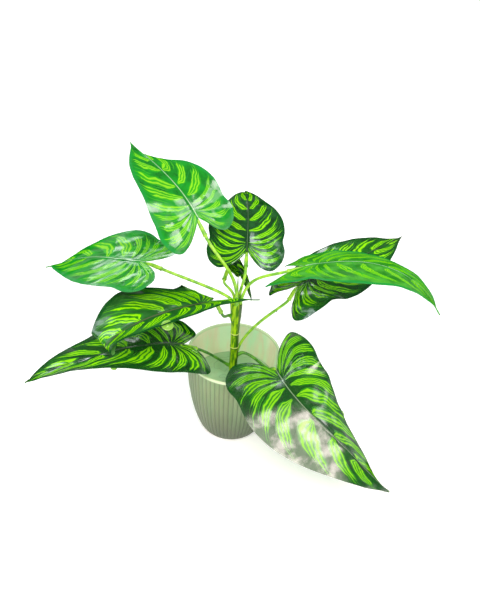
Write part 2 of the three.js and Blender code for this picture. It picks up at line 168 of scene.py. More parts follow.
# Adds and links the nodes of one shader tree
class ShaderDesk:
    def __init__(self, tree):
        self.tree = tree

    def wire(self, value, socket):
        if isinstance(value, Signal):
            self.tree.links.new(value.socket, socket)
        elif socket.type == "RGBA":
            socket.default_value = (*value, 1)
        else:
            socket.default_value = value

    # Inputs by name, with _ for a space
    def feed(self, node, **inputs):
        for key, value in inputs.items():
            self.wire(value, node.inputs[key.replace("_", " ")])

    def add(self, kind, settings=None, values=(), **inputs):
        node = self.tree.nodes.new(kind)
        for key, value in (settings or {}).items():
            setattr(node, key, value)
        for value, socket in zip(values, node.inputs):
            self.wire(value, socket)
        self.feed(node, **inputs)
        return node

    def take(self, kind, output=0, settings=None, values=(), **inputs):
        return Signal(self, self.add(kind, settings, values, **inputs).outputs[output])

    def calc(self, operation, *values, clamp=False):
        return self.take("ShaderNodeMath", 0, {"operation": operation, "use_clamp": clamp}, values)

    # Runs smoothly from start to end as the value goes from low to high
    def ease(self, value, low, high, start=0.0, end=1.0):
        values = (value, low, high, start, end)
        return self.take("ShaderNodeMapRange", 0, {"interpolation_type": "SMOOTHSTEP"}, values)

    def blend(self, share, first, second):
        node = self.add("ShaderNodeMix", {"data_type": "RGBA"}, [share])
        colorA, colorB = [socket for socket in node.inputs if socket.type == "RGBA"]
        self.wire(first, colorA)
        self.wire(second, colorB)
        return Signal(self, next(socket for socket in node.outputs if socket.type == "RGBA"))

    def split(self, vector):
        return [Signal(self, socket) for socket in self.add("ShaderNodeSeparateXYZ", Vector=vector).outputs]

    def join(self, x, y, z):
        return self.take("ShaderNodeCombineXYZ", X=x, Y=y, Z=z)

    def noise(self, vector, scale, detail=2.0, roughness=0.5):
        return self.take("ShaderNodeTexNoise", Vector=vector, Scale=scale, Detail=detail,
                         Roughness=roughness)

    def chance(self, output, *place):
        settings = {"noise_dimensions": "3D"}
        return self.take("ShaderNodeTexWhiteNoise", output, settings, Vector=self.join(*place))

    def stretch(self, vector, scale):
        return self.take("ShaderNodeVectorMath", 0, {"operation": "MULTIPLY"}, (vector, scale))

    def bump(self, height, strength, distance):
        return self.take("ShaderNodeBump", Strength=strength, Distance=distance, Height=height)


def newMaterial(name):
    material = bpy.data.materials.new(name)
    material.use_nodes = True
    return material, ShaderDesk(material.node_tree), material.node_tree.nodes["Principled BSDF"]


def newGroup(name, inputs, outputs):
    tree = bpy.data.node_groups.new(name, "ShaderNodeTree")
    for label, value in inputs.items():
        kind = "NodeSocketVector" if isinstance(value, tuple) else "NodeSocketFloat"
        tree.interface.new_socket(name=label, in_out="INPUT", socket_type=kind).default_value = value
    for label in outputs:
        tree.interface.new_socket(name=label, in_out="OUTPUT", socket_type="NodeSocketFloat")
    desk = ShaderDesk(tree)
    given = {socket.name: Signal(desk, socket) for socket in tree.nodes.new("NodeGroupInput").outputs}
    return desk, given


def closeGroup(desk, **outputs):
    desk.feed(desk.tree.nodes.new("NodeGroupOutput"), **outputs)
    return desk.tree


def placeGroup(desk, tree, **inputs):
    node = desk.add("ShaderNodeGroup", {"node_tree": tree}, **inputs)
    return {socket.name: Signal(desk, socket) for socket in node.outputs}


# Feathered bands: x of Veins counts the bands, y runs from the midrib (0) to the margin (1 or -1).
# Sweep bends a band towards the tip, Warp and Fray make its course and its edges uneven.
# Start, width, stop, gap and streakStart are a least value and what luck adds to it. Noises are
# (scale along the bands, scale across, detail)
featherForm = {
    "noises": [(0.7, 1.4, 1.0), (5.0, 6.0, 2.0), (1.6, 5.0, 1.0)],
    "sweepPower": 2.6, "sweepEase": (0.5, 4.5, 1.6, 1.0),
    "start": (0.03, 0.07), "startFade": (0.02, 0.03), "endLuck": -0.08, "tipFade": 0.3,
    "width": (0.8, 0.36), "rise": (0.0, 0.3, 0.25, 1.0), "fall": (0.8, 1.0, 1.0, 0.7),
    "strandLuck": 1.5, "strandSpread": 7.3, "stop": (0.86, 0.22), "stopFade": 0.14,
    "gap": (0.34, 0.2), "gapGrowth": 0.12, "strandSoft": 0.12, "strandEdge": (1.02, 0.92),
    "haloSize": 1.35, "haloFade": (0.25, 0.1), "haloSoft": 0.2, "haloEdge": (1.22, 1.0),
    "streakStart": (0.2, 0.3), "streakLength": 0.45, "streakRarity": 0.55, "streakWidth": (0.055, 0.02),
}


def makeFeatherGroup():
    form = featherForm
    desk, given = newGroup("featherBands", {
        "Veins": (0.0, 0.0, 0.0), "Seed": 0.0, "Width": 0.62, "Strands": 3.3, "Right End": 0.95,
        "Last Band": 9.6, "Left End": 0.95, "Sweep": 1.0, "Warp": 0.5, "Fray": 0.12, "Waver": 1.2,
    }, ["Band", "Strand", "Streak"])
    seed, leftEnd, lastBand = given["Seed"], given["Left End"], given["Last Band"]

    def lucky(pair, luck):
        return luck * pair[1] + pair[0]

    u, v, _ = desk.split(given["Veins"])
    hand = v > 0.0
    across = abs(v)
    slow, quick, waver = [desk.noise(desk.join(u * scaleU, v * scaleV, seed), 1.0, detail)
                          for scaleU, scaleV, detail in form["noises"]]
    sweep = given["Sweep"] * desk.ease(u, *form["sweepEase"])
    swept = u - sweep * across ** form["sweepPower"]
    place = swept + (slow - 0.5) * given["Warp"] + (quick - 0.5) * given["Fray"]
    band = math.floor(place)
    luckX, luckY, luckZ = desk.split(desk.chance("Color", band, hand, seed))
    start = lucky(form["start"], luckX)
    end = hand * (given["Right End"] - leftEnd) + leftEnd + luckY * form["endLuck"]
    run = desk.calc("DIVIDE", across - start, end - start, clamp=True)
    tipLimit = desk.ease(place, lastBand - form["tipFade"], lastBand, 1.0, 0.0)
    before, after = form["startFade"]
    begun = desk.ease(across, start - before, start + after) * tipLimit
    swell = desk.ease(run, *form["rise"]) * desk.ease(run, *form["fall"])
    half = given["Width"] * lucky(form["width"], luckZ) * 0.5 * swell
    side = (place - band - 0.5) / half
    off = abs(side)

    # Each band is drawn as a few strands, and each strand stops at a length of its own
    count = math.floor(luckX * form["strandLuck"] + (given["Strands"] - 0.5))
    lane = (side * 0.5 + 0.5) * count + (waver - 0.5) * given["Waver"]
    strand = math.floor(lane)
    inLane = abs(lane - strand - 0.5) * 2.0
    number = desk.calc("MULTIPLY_ADD", band, form["strandSpread"], strand)
    fate = desk.chance("Value", number, hand, seed + 3.0)
    stop = lucky(form["stop"], fate)
    gap = lucky(form["gap"], fate) + run * form["gapGrowth"]
    strandHalf = desk.ease(run, stop - form["stopFade"], stop, 1.0, 0.0) * (1.0 - gap)
    before, after = form["haloFade"]
    haloHalf = desk.ease(run, stop - before, stop + after, form["haloSize"], 0.0)
    lime = desk.ease(inLane, strandHalf + form["strandSoft"], strandHalf - form["strandSoft"])
    halo = desk.ease(inLane, haloHalf + form["haloSoft"], haloHalf - form["haloSoft"])

    # Thin odd streaks lie in the ground between two bands
    between = place + 0.5
    gapNumber = math.floor(between)
    offBetween = abs(between - gapNumber - 0.5)
    luckX, luckY, _ = desk.split(desk.chance("Color", gapNumber, hand, seed + 9.0))
    fromStart = across - lucky(form["streakStart"], luckX)
    streakRun = desk.calc("DIVIDE", fromStart, form["streakLength"], clamp=True)
    lens = streakRun * (1.0 - streakRun) * 4.0 * ((luckY > form["streakRarity"]) * tipLimit)
    outer, inner = form["streakWidth"]
    return closeGroup(desk, Band=halo * (desk.ease(off, *form["haloEdge"]) * begun),
                      Strand=lime * (desk.ease(off, *form["strandEdge"]) * begun),
                      Streak=desk.ease(offBetween, lens * outer, lens * inner))


# Midrib and side veins as masks, and a painted highlight: a thin pale line down the middle of the midrib.
# Flat is the flattened blade in metres. The midrib and the painted highlight line are the outer and the inner
# half width, as shares of the drawn width
veinForm = {
    "wobbleScale": 90.0, "wobble": (0.8, 0.6), "taper": (0.0, 0.15, 1.5, 0.5), "midrib": (1.5, 0.6),
    "paintedGlint": (0.5, 0.15), "reachFade": 0.15, "borderFade": 0.05,
}


def makeVeinGroup():
    form = veinForm
    desk, given = newGroup("leafVeins", {
        "Veins": (0.0, 0.0, 0.0), "Flat": (0.0, 0.0, 0.0), "Midrib Width": 0.0011, "Side Width": 0.045,
        "Border": 0.95}, ["Midrib", "Glint", "Side", "Border"])
    u, v, _ = desk.split(given["Veins"])
    x, y, _ = desk.split(given["Flat"])
    across, off = abs(v), abs(x)
    more, least = form["wobble"]
    wobble = desk.noise(given["Flat"], form["wobbleScale"]) * more + least
    width = given["Midrib Width"] * wobble * desk.ease(y, *form["taper"])
    side = 0.0
    for place, reach in sideVeins:
        near = desk.ease(abs(u - place), given["Side Width"], 0.0)
        side = desk.calc("MAXIMUM", side, near * desk.ease(across, reach, reach - form["reachFade"]))
    midrib, paintedGlint = [desk.ease(off, width * outer, width * inner)
                     for outer, inner in (form["midrib"], form["paintedGlint"])]
    border = desk.ease(across, given["Border"] - form["borderFade"], given["Border"])
    return closeGroup(desk, Midrib=midrib, Glint=paintedGlint, Side=side, Border=border)


# Moulded grain: fine lines along the veins with crumple, as a height and a tone. Scales are in 1/m
grainForm = {"broad": 40.0, "drawn": 700.0, "stretch": (1.0, 0.12, 0.12), "fine": 900.0, "fineShare": 0.12}


def makeGrainGroup():
    desk, given = newGroup("mouldGrain", {
        "Vector": (0.0, 0.0, 0.0), "Crumple": 0.5, "Lines": 0.5}, ["Height", "Tone"])
    broad = desk.noise(given["Vector"], grainForm["broad"], 3.0, 0.55)
    fine = desk.noise(given["Vector"], grainForm["fine"], 2.0, 0.6)
    drawn = desk.noise(desk.stretch(given["Vector"], grainForm["stretch"]), grainForm["drawn"], 2.0, 0.5)
    height = broad * given["Crumple"] + drawn * given["Lines"] + fine * grainForm["fineShare"]
    return closeGroup(desk, Height=height, Tone=broad)


# Marbling: tall soft bands of two paler tints in the moulded plastic
marbleForm = {"cloudSpan": (0.38, 0.66), "veinScale": 2.4, "veinSharpness": 9.0}


def makeMarbleGroup():
    desk, given = newGroup("marbling", {
        "Vector": (0.0, 0.0, 0.0), "Upright": 0.22, "Scale": 26.0}, ["Cloud", "Vein"])
    tall = desk.stretch(given["Vector"], desk.join(1.0, 1.0, given["Upright"]))
    cloud = desk.ease(desk.noise(tall, given["Scale"], 3.0, 0.6), *marbleForm["cloudSpan"])
    thin = desk.noise(tall, given["Scale"] * marbleForm["veinScale"], 4.0, 0.6)
    ridge = desk.calc("SUBTRACT", 1.0, abs(thin - 0.5) * marbleForm["veinSharpness"], clamp=True)
    return closeGroup(desk, Cloud=cloud, Vein=ridge)


# Rings of points round the upright axis, and the faces between them
def ringTurn(sides):
    return np.linspace(0, 2 * np.pi, sides, endpoint=False)


def ringPoints(radius, z, turn):
    x, y = radius * np.cos(turn), radius * np.sin(turn)
    return np.stack([x, y, np.broadcast_to(z, x.shape)], -1)


def bandFaces(low, high, sides):
    return [[low + i, low + (i + 1) % sides, high + (i + 1) % sides, high + i] for i in range(sides)]


# Faces of rings of points that go up, outward, with a face at either end
def stackFaces(rings, sides):
    faces = [face for low in range(0, (rings - 1) * sides, sides)
             for face in bandFaces(low, low + sides, sides)]
    return faces + [list(range(sides))[::-1], [(rings - 1) * sides + i for i in range(sides)]]


# The same for sweeps and for rings that go down
def tubeFaces(rings, sides, openStart=False):
    faces = [[face[0], *face[:0:-1]] for face in stackFaces(rings, sides)]
    if openStart:
        faces.pop(-2)
    return faces


# Parts are (points, faces, material number) and become one mesh
def joinParts(parts):
    points, faces, kinds, shift = [], [], [], 0
    for body, bodyFaces, kind in parts:
        points.append(body)
        faces += [[k + shift for k in face] for face in bodyFaces]
        kinds += [kind] * len(bodyFaces)
        shift += len(body)
    return np.vstack(points), faces, kinds


# Points in mm. Flat faces keep sharp edges, the others are smooth
def addMesh(name, node, points, faces, materials, kinds=None, flatFaces=(), maps=None):
    mesh = bpy.data.meshes.new(name)
    mesh.from_pydata((np.asarray(points, float) * mm).tolist(), [], faces)
    for material in materials:
        mesh.materials.append(material)
    if kinds is not None:
        mesh.polygons.foreach_set("material_index", np.asarray(kinds, np.int32))
    smooth = np.ones(len(mesh.polygons), bool)
    smooth[np.asarray(flatFaces, int)] = False
    mesh.polygons.foreach_set("use_smooth", smooth)
    for number in flatFaces:
        for loop in mesh.polygons[number].loop_indices:
            mesh.edges[mesh.loops[loop].edge_index].use_edge_sharp = True
    for label, corners in (maps or {}).items():
        layer = mesh.uv_layers.new(name=label)
        layer.data.foreach_set("uv", np.asarray(corners, np.float32).ravel())
    mesh.update()
    piece = bpy.data.objects.new(name, mesh)
    scene.collection.objects.link(piece)
    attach(piece, "root")
    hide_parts(node)


# Leaf form: the right half of a flat blade from the notch to the tip, in shares of its length
bladeForm = {
    "outline": [(0, -0.09), (0.065, -0.185), (0.15, -0.28), (0.25, -0.325), (0.335, -0.26), (0.37, -0.13),
                (0.352, 0), (0.368, 0.12), (0.355, 0.26), (0.3, 0.45), (0.215, 0.64), (0.12, 0.81),
                (0.045, 0.92), (0, 1)],
    "veinRoots": [-0.09, -0.045, 0, 0, 0, 0, 0, 0.03, 0.1, 0.24, 0.44, 0.64, 0.83, 1],
    "veinBow": 0.16,
    "bowStart": 0.35,
    "halfWidth": 0.375,
    "droopSpan": 0.2,
    "tuckStart": 0.82,
    "tuckSpan": 0.06,
    "curlStart": 0.7,
    "curlSpan": 0.3,
    "wavePhase": 0.3,
    "thickness": 0.8,
    "edgeThickness": 0.45,
    "edgeSpan": 0.15,
    "rows": 130,
    "columns": 26,
}
outlineSteps = len(bladeForm["outline"]) - 1
# Bands counted from the notch round a half: place along the outline against band number
bandPlaces = ([0, 1.2, 6.2, 13], [-1.6, -0.6, 3.2, 10.4])
# The veins that the backing presses up: band number and how far they reach
sideVeins = [(0.77, 0.62), (6.2, 0.78)]

# How far a finished blade is rolled from its plain form, in degrees at the base, middle and tip
bladeTurns = {"f": (20, 25, 32)}
level = (0, 0, 0)
plainLeaf = {"roll": level, "foldLeft": level, "foldRight": level, "curl": level, "droop": (0, 0), "tuck": 0,
             "tilt": 0}
leafForms = {
    "a": {"base": (-56, 25, 313), "length": 120, "width": (62, 54), "heading": (140, 140, 130),
          "pitch": (45, 20, 5), "foldLeft": (0, 10, -5), "foldRight": (0, -5, -55), "curl": (15, 20, 20),
          "droop": (18, 18), "wave": (1.5, 3, 0.1),
          "stem": {"radius": 2, "angle": 272, "lean": (0.02, -0.2, 1), "lead": 56, "back": 36}},
    "b": {"base": (-125, 20, 240), "length": 145, "width": (65, 68), "heading": (160, 155, 170),
          "pitch": (-10, -22, -45), "foldRight": (-5, 5, -10), "curl": (0, 25, 55), "droop": (-8, -8),
          "wave": (1.5, 3, 0.4), "tilt": 20,
          "stem": {"angle": 192, "lean": (-0.3, 0, 1), "lead": 12, "back": 44}},
    "c": {"base": (-41, -42, 228), "length": 151, "width": (60, 92), "heading": (208, 218, 232),
          "pitch": (2, -4, -36), "roll": (12, 8, 14), "foldLeft": (22, 20, 30), "foldRight": (-10, 0, 18),
          "curl": (12, 0, -8), "tuck": 165, "droop": (24, 76), "wave": (1.2, 3, 0.2), "pad": (-1, 9),
          "tilt": 50,
          "stem": {"height": 181, "angle": 215, "lean": (-0.5, -0.2, 0.35), "lead": 8, "back": 13}},
    "d": {"base": (-75, -49, 170), "length": 180, "width": (42, 66), "heading": (210, 202, 198),
          "pitch": (20, -5, -15), "roll": (0, 10, 8), "foldLeft": (-24, 0, 0), "curl": (0, -18, 0),
          "droop": (25, 25), "wave": (1.5, 3, 0.7), "pad": (-1, 9), "tilt": 10,
          "stem": {"height": 99, "angle": 195, "lean": (-0.75, -0.2, 0.66), "lead": 18, "back": 22}},
    "e": {"base": (9, 46, 257), "length": 150, "width": (50, 47), "heading": (90, 92, 96),
          "pitch": (12, -4, -18), "foldLeft": (10, 0, 0), "foldRight": (10, 0, 0), "curl": (0, -10, 0),
          "wave": (1.5, 3, 0.3), "stem": {"angle": 54, "lean": (0.06, 0, 1), "lead": 25, "back": 26}},
    "f": {"base": (-12, 45, 224), "length": 128, "width": (18, 18), "heading": (88, 53, 72),
          "pitch": (-24, -57, -76), "roll": (15, 35, 38), "foldLeft": (35, 0, 0), "foldRight": (10, 5, 5),
          "wave": (1, 2, 0), "tilt": 40,
          "stem": {"radius": 1.6, "angle": 125, "lean": (-0.1, 0.3, 1), "lead": 14, "back": 10}},
    "g": {"base": (91, -19, 277), "length": 161, "width": (51, 56), "heading": (-8, -22, -44),
          "pitch": (18, -4, -60), "roll": (-18, -12, -24), "foldLeft": (0, -8, -5), "foldRight": (0, -5, 20),
          "curl": (0, 12, 18), "droop": (22, 28), "wave": (1.5, 3, 0.5),
          "stem": {"angle": 346, "lean": (0.2, 0, 1), "lead": 40, "back": 36}},
    "h": {"base": (87, 30, 218), "length": 150, "width": (59, 53), "heading": (34, 32, 42),
          "pitch": (11, 7, 5), "roll": (0, 10, 0), "foldLeft": (-28, -14, 0), "foldRight": (4, -6, 12),
          "droop": (26, 46), "wave": (1.5, 3, 0.6), "tilt": 36,
          "stem": {"height": 119, "angle": 48, "lean": (0.25, 0.25, 0.77), "lead": 37, "back": 10}},
    "i": {"base": (60, -71, 142), "length": 189, "width": (54, 64), "heading": (-66, -30, -34),
          "pitch": (-2, -30, -40), "roll": (10, 16, 0), "foldLeft": (9, -29, -15), "foldRight": (-8, -19, 0),
          "curl": (36, -2, -3), "droop": (-28, 14), "wave": (1.5, 3, 0.8), "pad": (-1, 9), "tilt": 45,
          "stem": {"height": 117, "angle": -8, "lean": (0.62, 0.11, 0.58), "lead": 14, "back": 36}},
}


def ramp(value, start, span):
    return np.clip((value - start) / span, 0, 1)


def hump(value, width):
    return np.exp(-(value / width) ** 2)


def unit(vector):
    return np.asarray(vector, float) / np.linalg.norm(vector)


# A smooth curve through points, at shares t of its way
def through(points, t):
    p = np.array(points, float)
    p = np.vstack([2 * p[0] - p[1], p, 2 * p[-1] - p[-2]])
    last = len(points) - 1
    place = np.clip(t, 0, 1) * last
    i = np.minimum(place.astype(int), last - 1)
    u = (place - i)[..., None]
    before, left, right, after = p[i], p[i + 1], p[i + 2], p[i + 3]
    return 0.5 * (2 * left + (right - before) * u + (2 * before - 5 * left + 4 * right - after) * u ** 2
                  + (3 * left - before - 3 * right + after) * u ** 3)


# Runs through three values, at the base, the middle and the tip
def along(values, s):
    t = np.maximum(s, 0)
    return values[0] * (1 - t) * (1 - 2 * t) + values[1] * 4 * t * (1 - t) + values[2] * t * (2 * t - 1)


# A flat half blade: a runs round the outline, b from the midrib to the margin along bowed veins
def flatPoints(a, b):
    margin = through(bladeForm["outline"], a)
    root = np.interp(a * outlineSteps, np.arange(outlineSteps + 1), bladeForm["veinRoots"])
    span = np.hypot(margin[..., 0], margin[..., 1] - root)
    bow = bladeForm["veinBow"] * span * np.minimum(a / bladeForm["bowStart"], 1)
    midX, midY = margin[..., 0] / 2, (root + margin[..., 1]) / 2 - bow
    x = 2 * b * (1 - b) * midX + b * b * margin[..., 0]
    y = (1 - b) ** 2 * root + 2 * b * (1 - b) * midY + b * b * margin[..., 1]
    return x, y


# A bent blade. Its midrib is walked in small steps ahead to the tip, and behind along each lobe
class LeafShape:
    step = 0.005
    steps = 220

    def __init__(self, form):
        self.form = {**plainLeaf, **form, "stem": {"radius": stalkForm["radius"], **form["stem"]}}
        self.ahead = self.walk(1, 1)
        self.behind = {1: self.walk(-1, 1), -1: self.walk(-1, -1)}

    def walk(self, way, hand):
        places = way * (np.arange(self.steps) + 0.5) * self.step
        moves = self.tangent(places, hand) * way * self.step * self.form["length"]
        return np.vstack([[0, 0, 0], np.cumsum(moves, 0)]) + np.array(self.form["base"], float)

    def turns(self, s):
        tip = np.maximum(0, (s - bladeForm["curlStart"]) / bladeForm["curlSpan"]) ** 2
        angles = zip(("heading", "pitch", "roll"), self.form["curl"])
        return [along(self.form[key], s) + curl * tip for key, curl in angles]

    def tuckShare(self, s):
        return ramp(s, bladeForm["tuckStart"], bladeForm["tuckSpan"])

    def tangent(self, s, hand=1):
        heading, pitch, _ = self.turns(s)
        lobeShare = np.clip((bladeForm["outline"][0][1] - s) / bladeForm["droopSpan"], 0, 1)
        droop = self.form["droop"][0 if hand < 0 else 1] * lobeShare
        p = (pitch + droop - self.form["tuck"] * self.tuckShare(s)) * degree
        h = heading * degree
        return np.stack([np.cos(p) * np.cos(h), np.cos(p) * np.sin(h), np.sin(p)], -1)

    def frameAt(self, s, hand=1):
        heading, _, roll = self.turns(s)
        h, r = heading * degree, roll * degree
        side = np.stack([np.sin(h), -np.cos(h), np.zeros_like(h)], -1)
        up = np.cross(side, self.tangent(s, hand))
        c, n = np.cos(r)[..., None], np.sin(r)[..., None]
        return side * c - up * n, side * n + up * c

    def centre(self, s, hand=1):
        def follow(path):
            place = np.abs(s) / self.step
            return np.stack([np.interp(place, np.arange(len(path)), path[:, k]) for k in range(3)], -1)
        return np.where((s < 0)[..., None], follow(self.behind[hand]), follow(self.ahead))

    # Places in space, and on the flattened blade in mm
    def points(self, hand, a, b):
        form, left = self.form, hand < 0
        x, y = flatPoints(a, b)
        reach = np.abs(x) * form["width"][0 if left else 1] / bladeForm["halfWidth"]
        over = self.tuckShare(y) if form["tuck"] else 0
        fold = along(form["foldLeft" if left else "foldRight"], y) * (1 - 2 * over) * degree
        height, count, phase = form["wave"]
        phase += bladeForm["wavePhase"] if left else 0
        wave = height * b * b * np.sin(2 * np.pi * (count * a + phase))
        side, up = self.frameAt(y, hand)
        across = (hand * reach * np.cos(fold))[..., None]
        lifted = (reach * np.sin(fold) + wave)[..., None]
        flat = np.stack([hand * reach, y * form["length"]], -1)
        return self.centre(y, hand) + side * across + up * lifted, flat


# A steady, seeded crumple in mm for points of the flattened blade
def crumple(flat, seed, size, count=9):
    draw = np.random.default_rng(seed)
    total = np.zeros(flat.shape[:-1])
    for _ in range(count):
        angle, phase, wave = draw.uniform(0, 2 * np.pi, 2).tolist() + [size * draw.uniform(0.6, 1.7)]
        direction = np.array([math.cos(angle), math.sin(angle)]) * 2 * np.pi / wave
        total += np.sin(flat @ direction + phase)
    return total / math.sqrt(count)


# How the film stands up over its backing and swells between the bands, in mm. What rises or fades
# from the midrib to the margin does so in shares of the half blade. Crumples are (size, height, rise,
# what is added to the seed)
relief = {
    "midrib": 0.4, "midribWidth": 1.2, "midribStart": -14, "midribRise": 8,
    "groove": 0.2, "grooveOff": 4, "grooveWidth": 2.2,
    "sideVein": 0.3, "veinWidth": 0.09, "veinRise": 1 / 6, "veinFade": 0.2,
    "swell": 0.1, "swellRise": 0.25, "swellFall": 0.15,
    "crumples": [(30, 0.38, 0.15, 0), (9, 0.07, 0.2, 50)],
}


def bandNumber(a):
    return np.interp(a * outlineSteps, *bandPlaces)


def bladeRelief(a, b, flat, seed):
    bands, off = bandNumber(a), np.abs(flat[..., 0])
    started = ramp(flat[..., 1], relief["midribStart"], relief["midribRise"])
    rise = relief["midrib"] * hump(off, relief["midribWidth"]) * started
    rise -= relief["groove"] * hump(off - relief["grooveOff"], relief["grooveWidth"])
    for place, reach in sideVeins:
        crest = hump(bands - place, relief["veinWidth"]) * ramp(b, 0, relief["veinRise"])
        rise += relief["sideVein"] * crest * ramp(reach - b, -relief["veinFade"] / 2, relief["veinFade"])
    middle = ramp(b, 0, relief["swellRise"]) * ramp(1 - b, 0, relief["swellFall"])
    rise += relief["swell"] * np.cos(2 * np.pi * (bands - 0.5)) * middle
    for size, height, start, more in relief["crumples"]:
        rise += height * crumple(flat, seed + more, size) * ramp(b, 0, start)
    return rise


def buildBlade(letter, shape, materials, seed):
    rows, columns = bladeForm["rows"], bladeForm["columns"]
    a, b = np.meshgrid(np.linspace(0, 1, rows + 1), np.linspace(0, 1, columns + 1), indexing="ij")
    halves = []
    for hand in (1, -1):
        place, flat = shape.points(hand, a, b)
        rise = bladeRelief(a, b, flat, seed + (hand < 0) * 7)
        veins = np.stack([bandNumber(a), b * hand], -1)
        halves.append((place.reshape(-1, 3), flat.reshape(-1, 2), veins.reshape(-1, 2),
                       rise.ravel(), b.ravel()))
    places, flats, veins, rises, edges = [np.concatenate(both) for both in zip(*halves)]

    # Points on the same spot, to 0.002 mm, become one: along the midrib and at the tip
    spots = np.round(places * 500).astype(np.int64)
    _, first, ids = np.unique(spots, axis=0, return_index=True, return_inverse=True)
    ids = ids.ravel()
    count, middle = len(first), places[first]
    rise, edge = [np.bincount(ids, values) / np.bincount(ids) for values in (rises, edges)]
    size, wide = a.size, columns + 1
    corners = []
    for hand, shift in ((1, 0), (-1, size)):
        for p in (shift + i * wide + j for i in range(rows) for j in range(columns)):
            quad = [p, p + 1, p + wide + 1, p + wide][::hand]
            kept = [k for n, k in enumerate(quad) if ids[k] != ids[quad[n - 1]]]
            if len({ids[k] for k in kept}) == len(kept) > 2:
                corners.append(kept)
    normals = np.zeros((count, 3))
    for kept in corners:
        v = [ids[k] for k in kept]
        for n in range(1, len(v) - 1):
            facing = np.cross(middle[v[n]] - middle[v[0]], middle[v[n + 1]] - middle[v[0]])
            normals[[v[0], v[n], v[n + 1]]] += facing
    normals /= np.maximum(np.linalg.norm(normals, axis=1, keepdims=True), 1e-9)
    thin, full = bladeForm["edgeThickness"], bladeForm["thickness"]
    half = (thin + (full - thin) * ramp(1 - edge, 0, bladeForm["edgeSpan"])) / 2
    top, under = [middle + normals * (rise + lift)[:, None] for lift in (half, -half)]

    # The upper face is kind 0 and the under face kind 1, with flat walls along the margin
    sheets = [(k, 0) for k in corners] + [(k[::-1], count) for k in corners]
    faces = [[int(ids[k]) + shift for k in kept] for kept, shift in sheets]
    loops = [k for kept, _ in sheets for k in kept]
    kinds = [int(shift > 0) for _, shift in sheets]
    ring = [i * wide + columns for i in range(rows + 1)]
    ring += [size + i * wide + columns for i in range(rows - 1, 0, -1)]
    walls = []
    for p, q in zip(ring, ring[1:] + ring[:1]):
        if ids[p] != ids[q]:
            walls.append(len(faces))
            faces.append([int(ids[p]), int(ids[p]) + count, int(ids[q]) + count, int(ids[q])])
            loops += [p, p, q, q]
    kinds += [0] * len(walls)
    addMesh(f"leafBlade{letter.upper()}", f"blade_{letter}", np.vstack([top, under]), faces, materials,
            kinds, walls, {"veins": veins[loops], "flat": flats[loops] * mm})


# A round bar along a path, with a radius for every point
def sweepTube(path, radii, sides, openStart=False):
    path = np.asarray(path, float)
    tangents = np.gradient(path, axis=0)
    tangents /= np.linalg.norm(tangents, axis=1, keepdims=True)
    side = np.cross(tangents[0], [0, 0, 1])
    if np.linalg.norm(side) < 1e-3:
        side = np.cross(tangents[0], [0, 1, 0])
    points, turn = [], ringTurn(sides)[:, None]
    for place, tangent, radius in zip(path, tangents, radii):
        side = unit(side - tangent * (side @ tangent))
        points.append(place + radius * (np.cos(turn) * side + np.sin(turn) * np.cross(side, tangent)))
    return np.vstack(points), tubeFaces(len(path), sides, openStart)


# A turned form of (radius, height) pairs from axis to axis, standing at a place along a direction
def turnedAt(profile, place, direction, sides):
    direction = unit(direction)
    side = unit(np.cross(direction, [0.3, 0.5, 0.81]))
    turn = ringTurn(sides)[:, None]
    around = np.cos(turn) * side + np.sin(turn) * np.cross(direction, side)
    rings = [place + direction * height + radius * around for radius, height in profile[1:-1]]
    first, end = [place + direction * profile[k][1] for k in (0, -1)]
    points = np.vstack([first, *rings, end])
    last = 1 + (len(rings) - 1) * sides
    faces = [[0, 1 + (i + 1) % sides, 1 + i] for i in range(sides)]
    for low in range(1, last, sides):
        faces += bandFaces(low, low + sides, sides)
    faces += [[last + i, last + (i + 1) % sides, len(points) - 1] for i in range(sides)]
    return points, faces


# Stalks and the sleeves that they plug into, in mm as in the solids
stalkForm = {
    "radius": 1.8, "straightEnd": 2.5, "crownRing": 4.5, "crownHeight": 200, "crownDepth": 5,
    "sideDepth": 3.4, "trunkRadius": 5.4, "plugGap": 0.3, "boreDepth": 9, "sleeveLength": 16,
    "sleeveSetBack": 6.5, "sleeveDrop": 2.6, "bendSteps": 70, "endSteps": 7, "sides": 16,
    "flare": 0.35, "flareStart": 6, "flareFade": 5, "flareRim": 3, "plugShare": 0.97,
    "waves": [(0.06, 5.3, 1), (0.05, 2.1, 2)],
}
# Dark nubs: a place on a stalk as a share of it, and the one form of a nub in mm
stalkNubs = {"h": 0.65}
nubForm = {"path": [(0, 0, 0), (0.2, -0.3, -0.8), (0.4, -0.5, -1.6), (0.5, -0.6, -2.1)],
           "radii": [1.3, 1.2, 0.8, 0.2], "sides": 12, "drop": 0.6}


# The way that a sleeve points, and where its mouth lies
def sleevePlace(shape):
    s = np.array(bladeForm["outline"][0][1] - stalkForm["sleeveSetBack"] / shape.form["length"])
    _, up = shape.frameAt(s)
    tilt = shape.form["tilt"] * degree
    tangent = shape.tangent(s) * math.cos(tilt) + up * math.sin(tilt)
    front = shape.centre(s) - up * stalkForm["sleeveDrop"]
    return tangent, front - tangent * stalkForm["sleeveLength"]


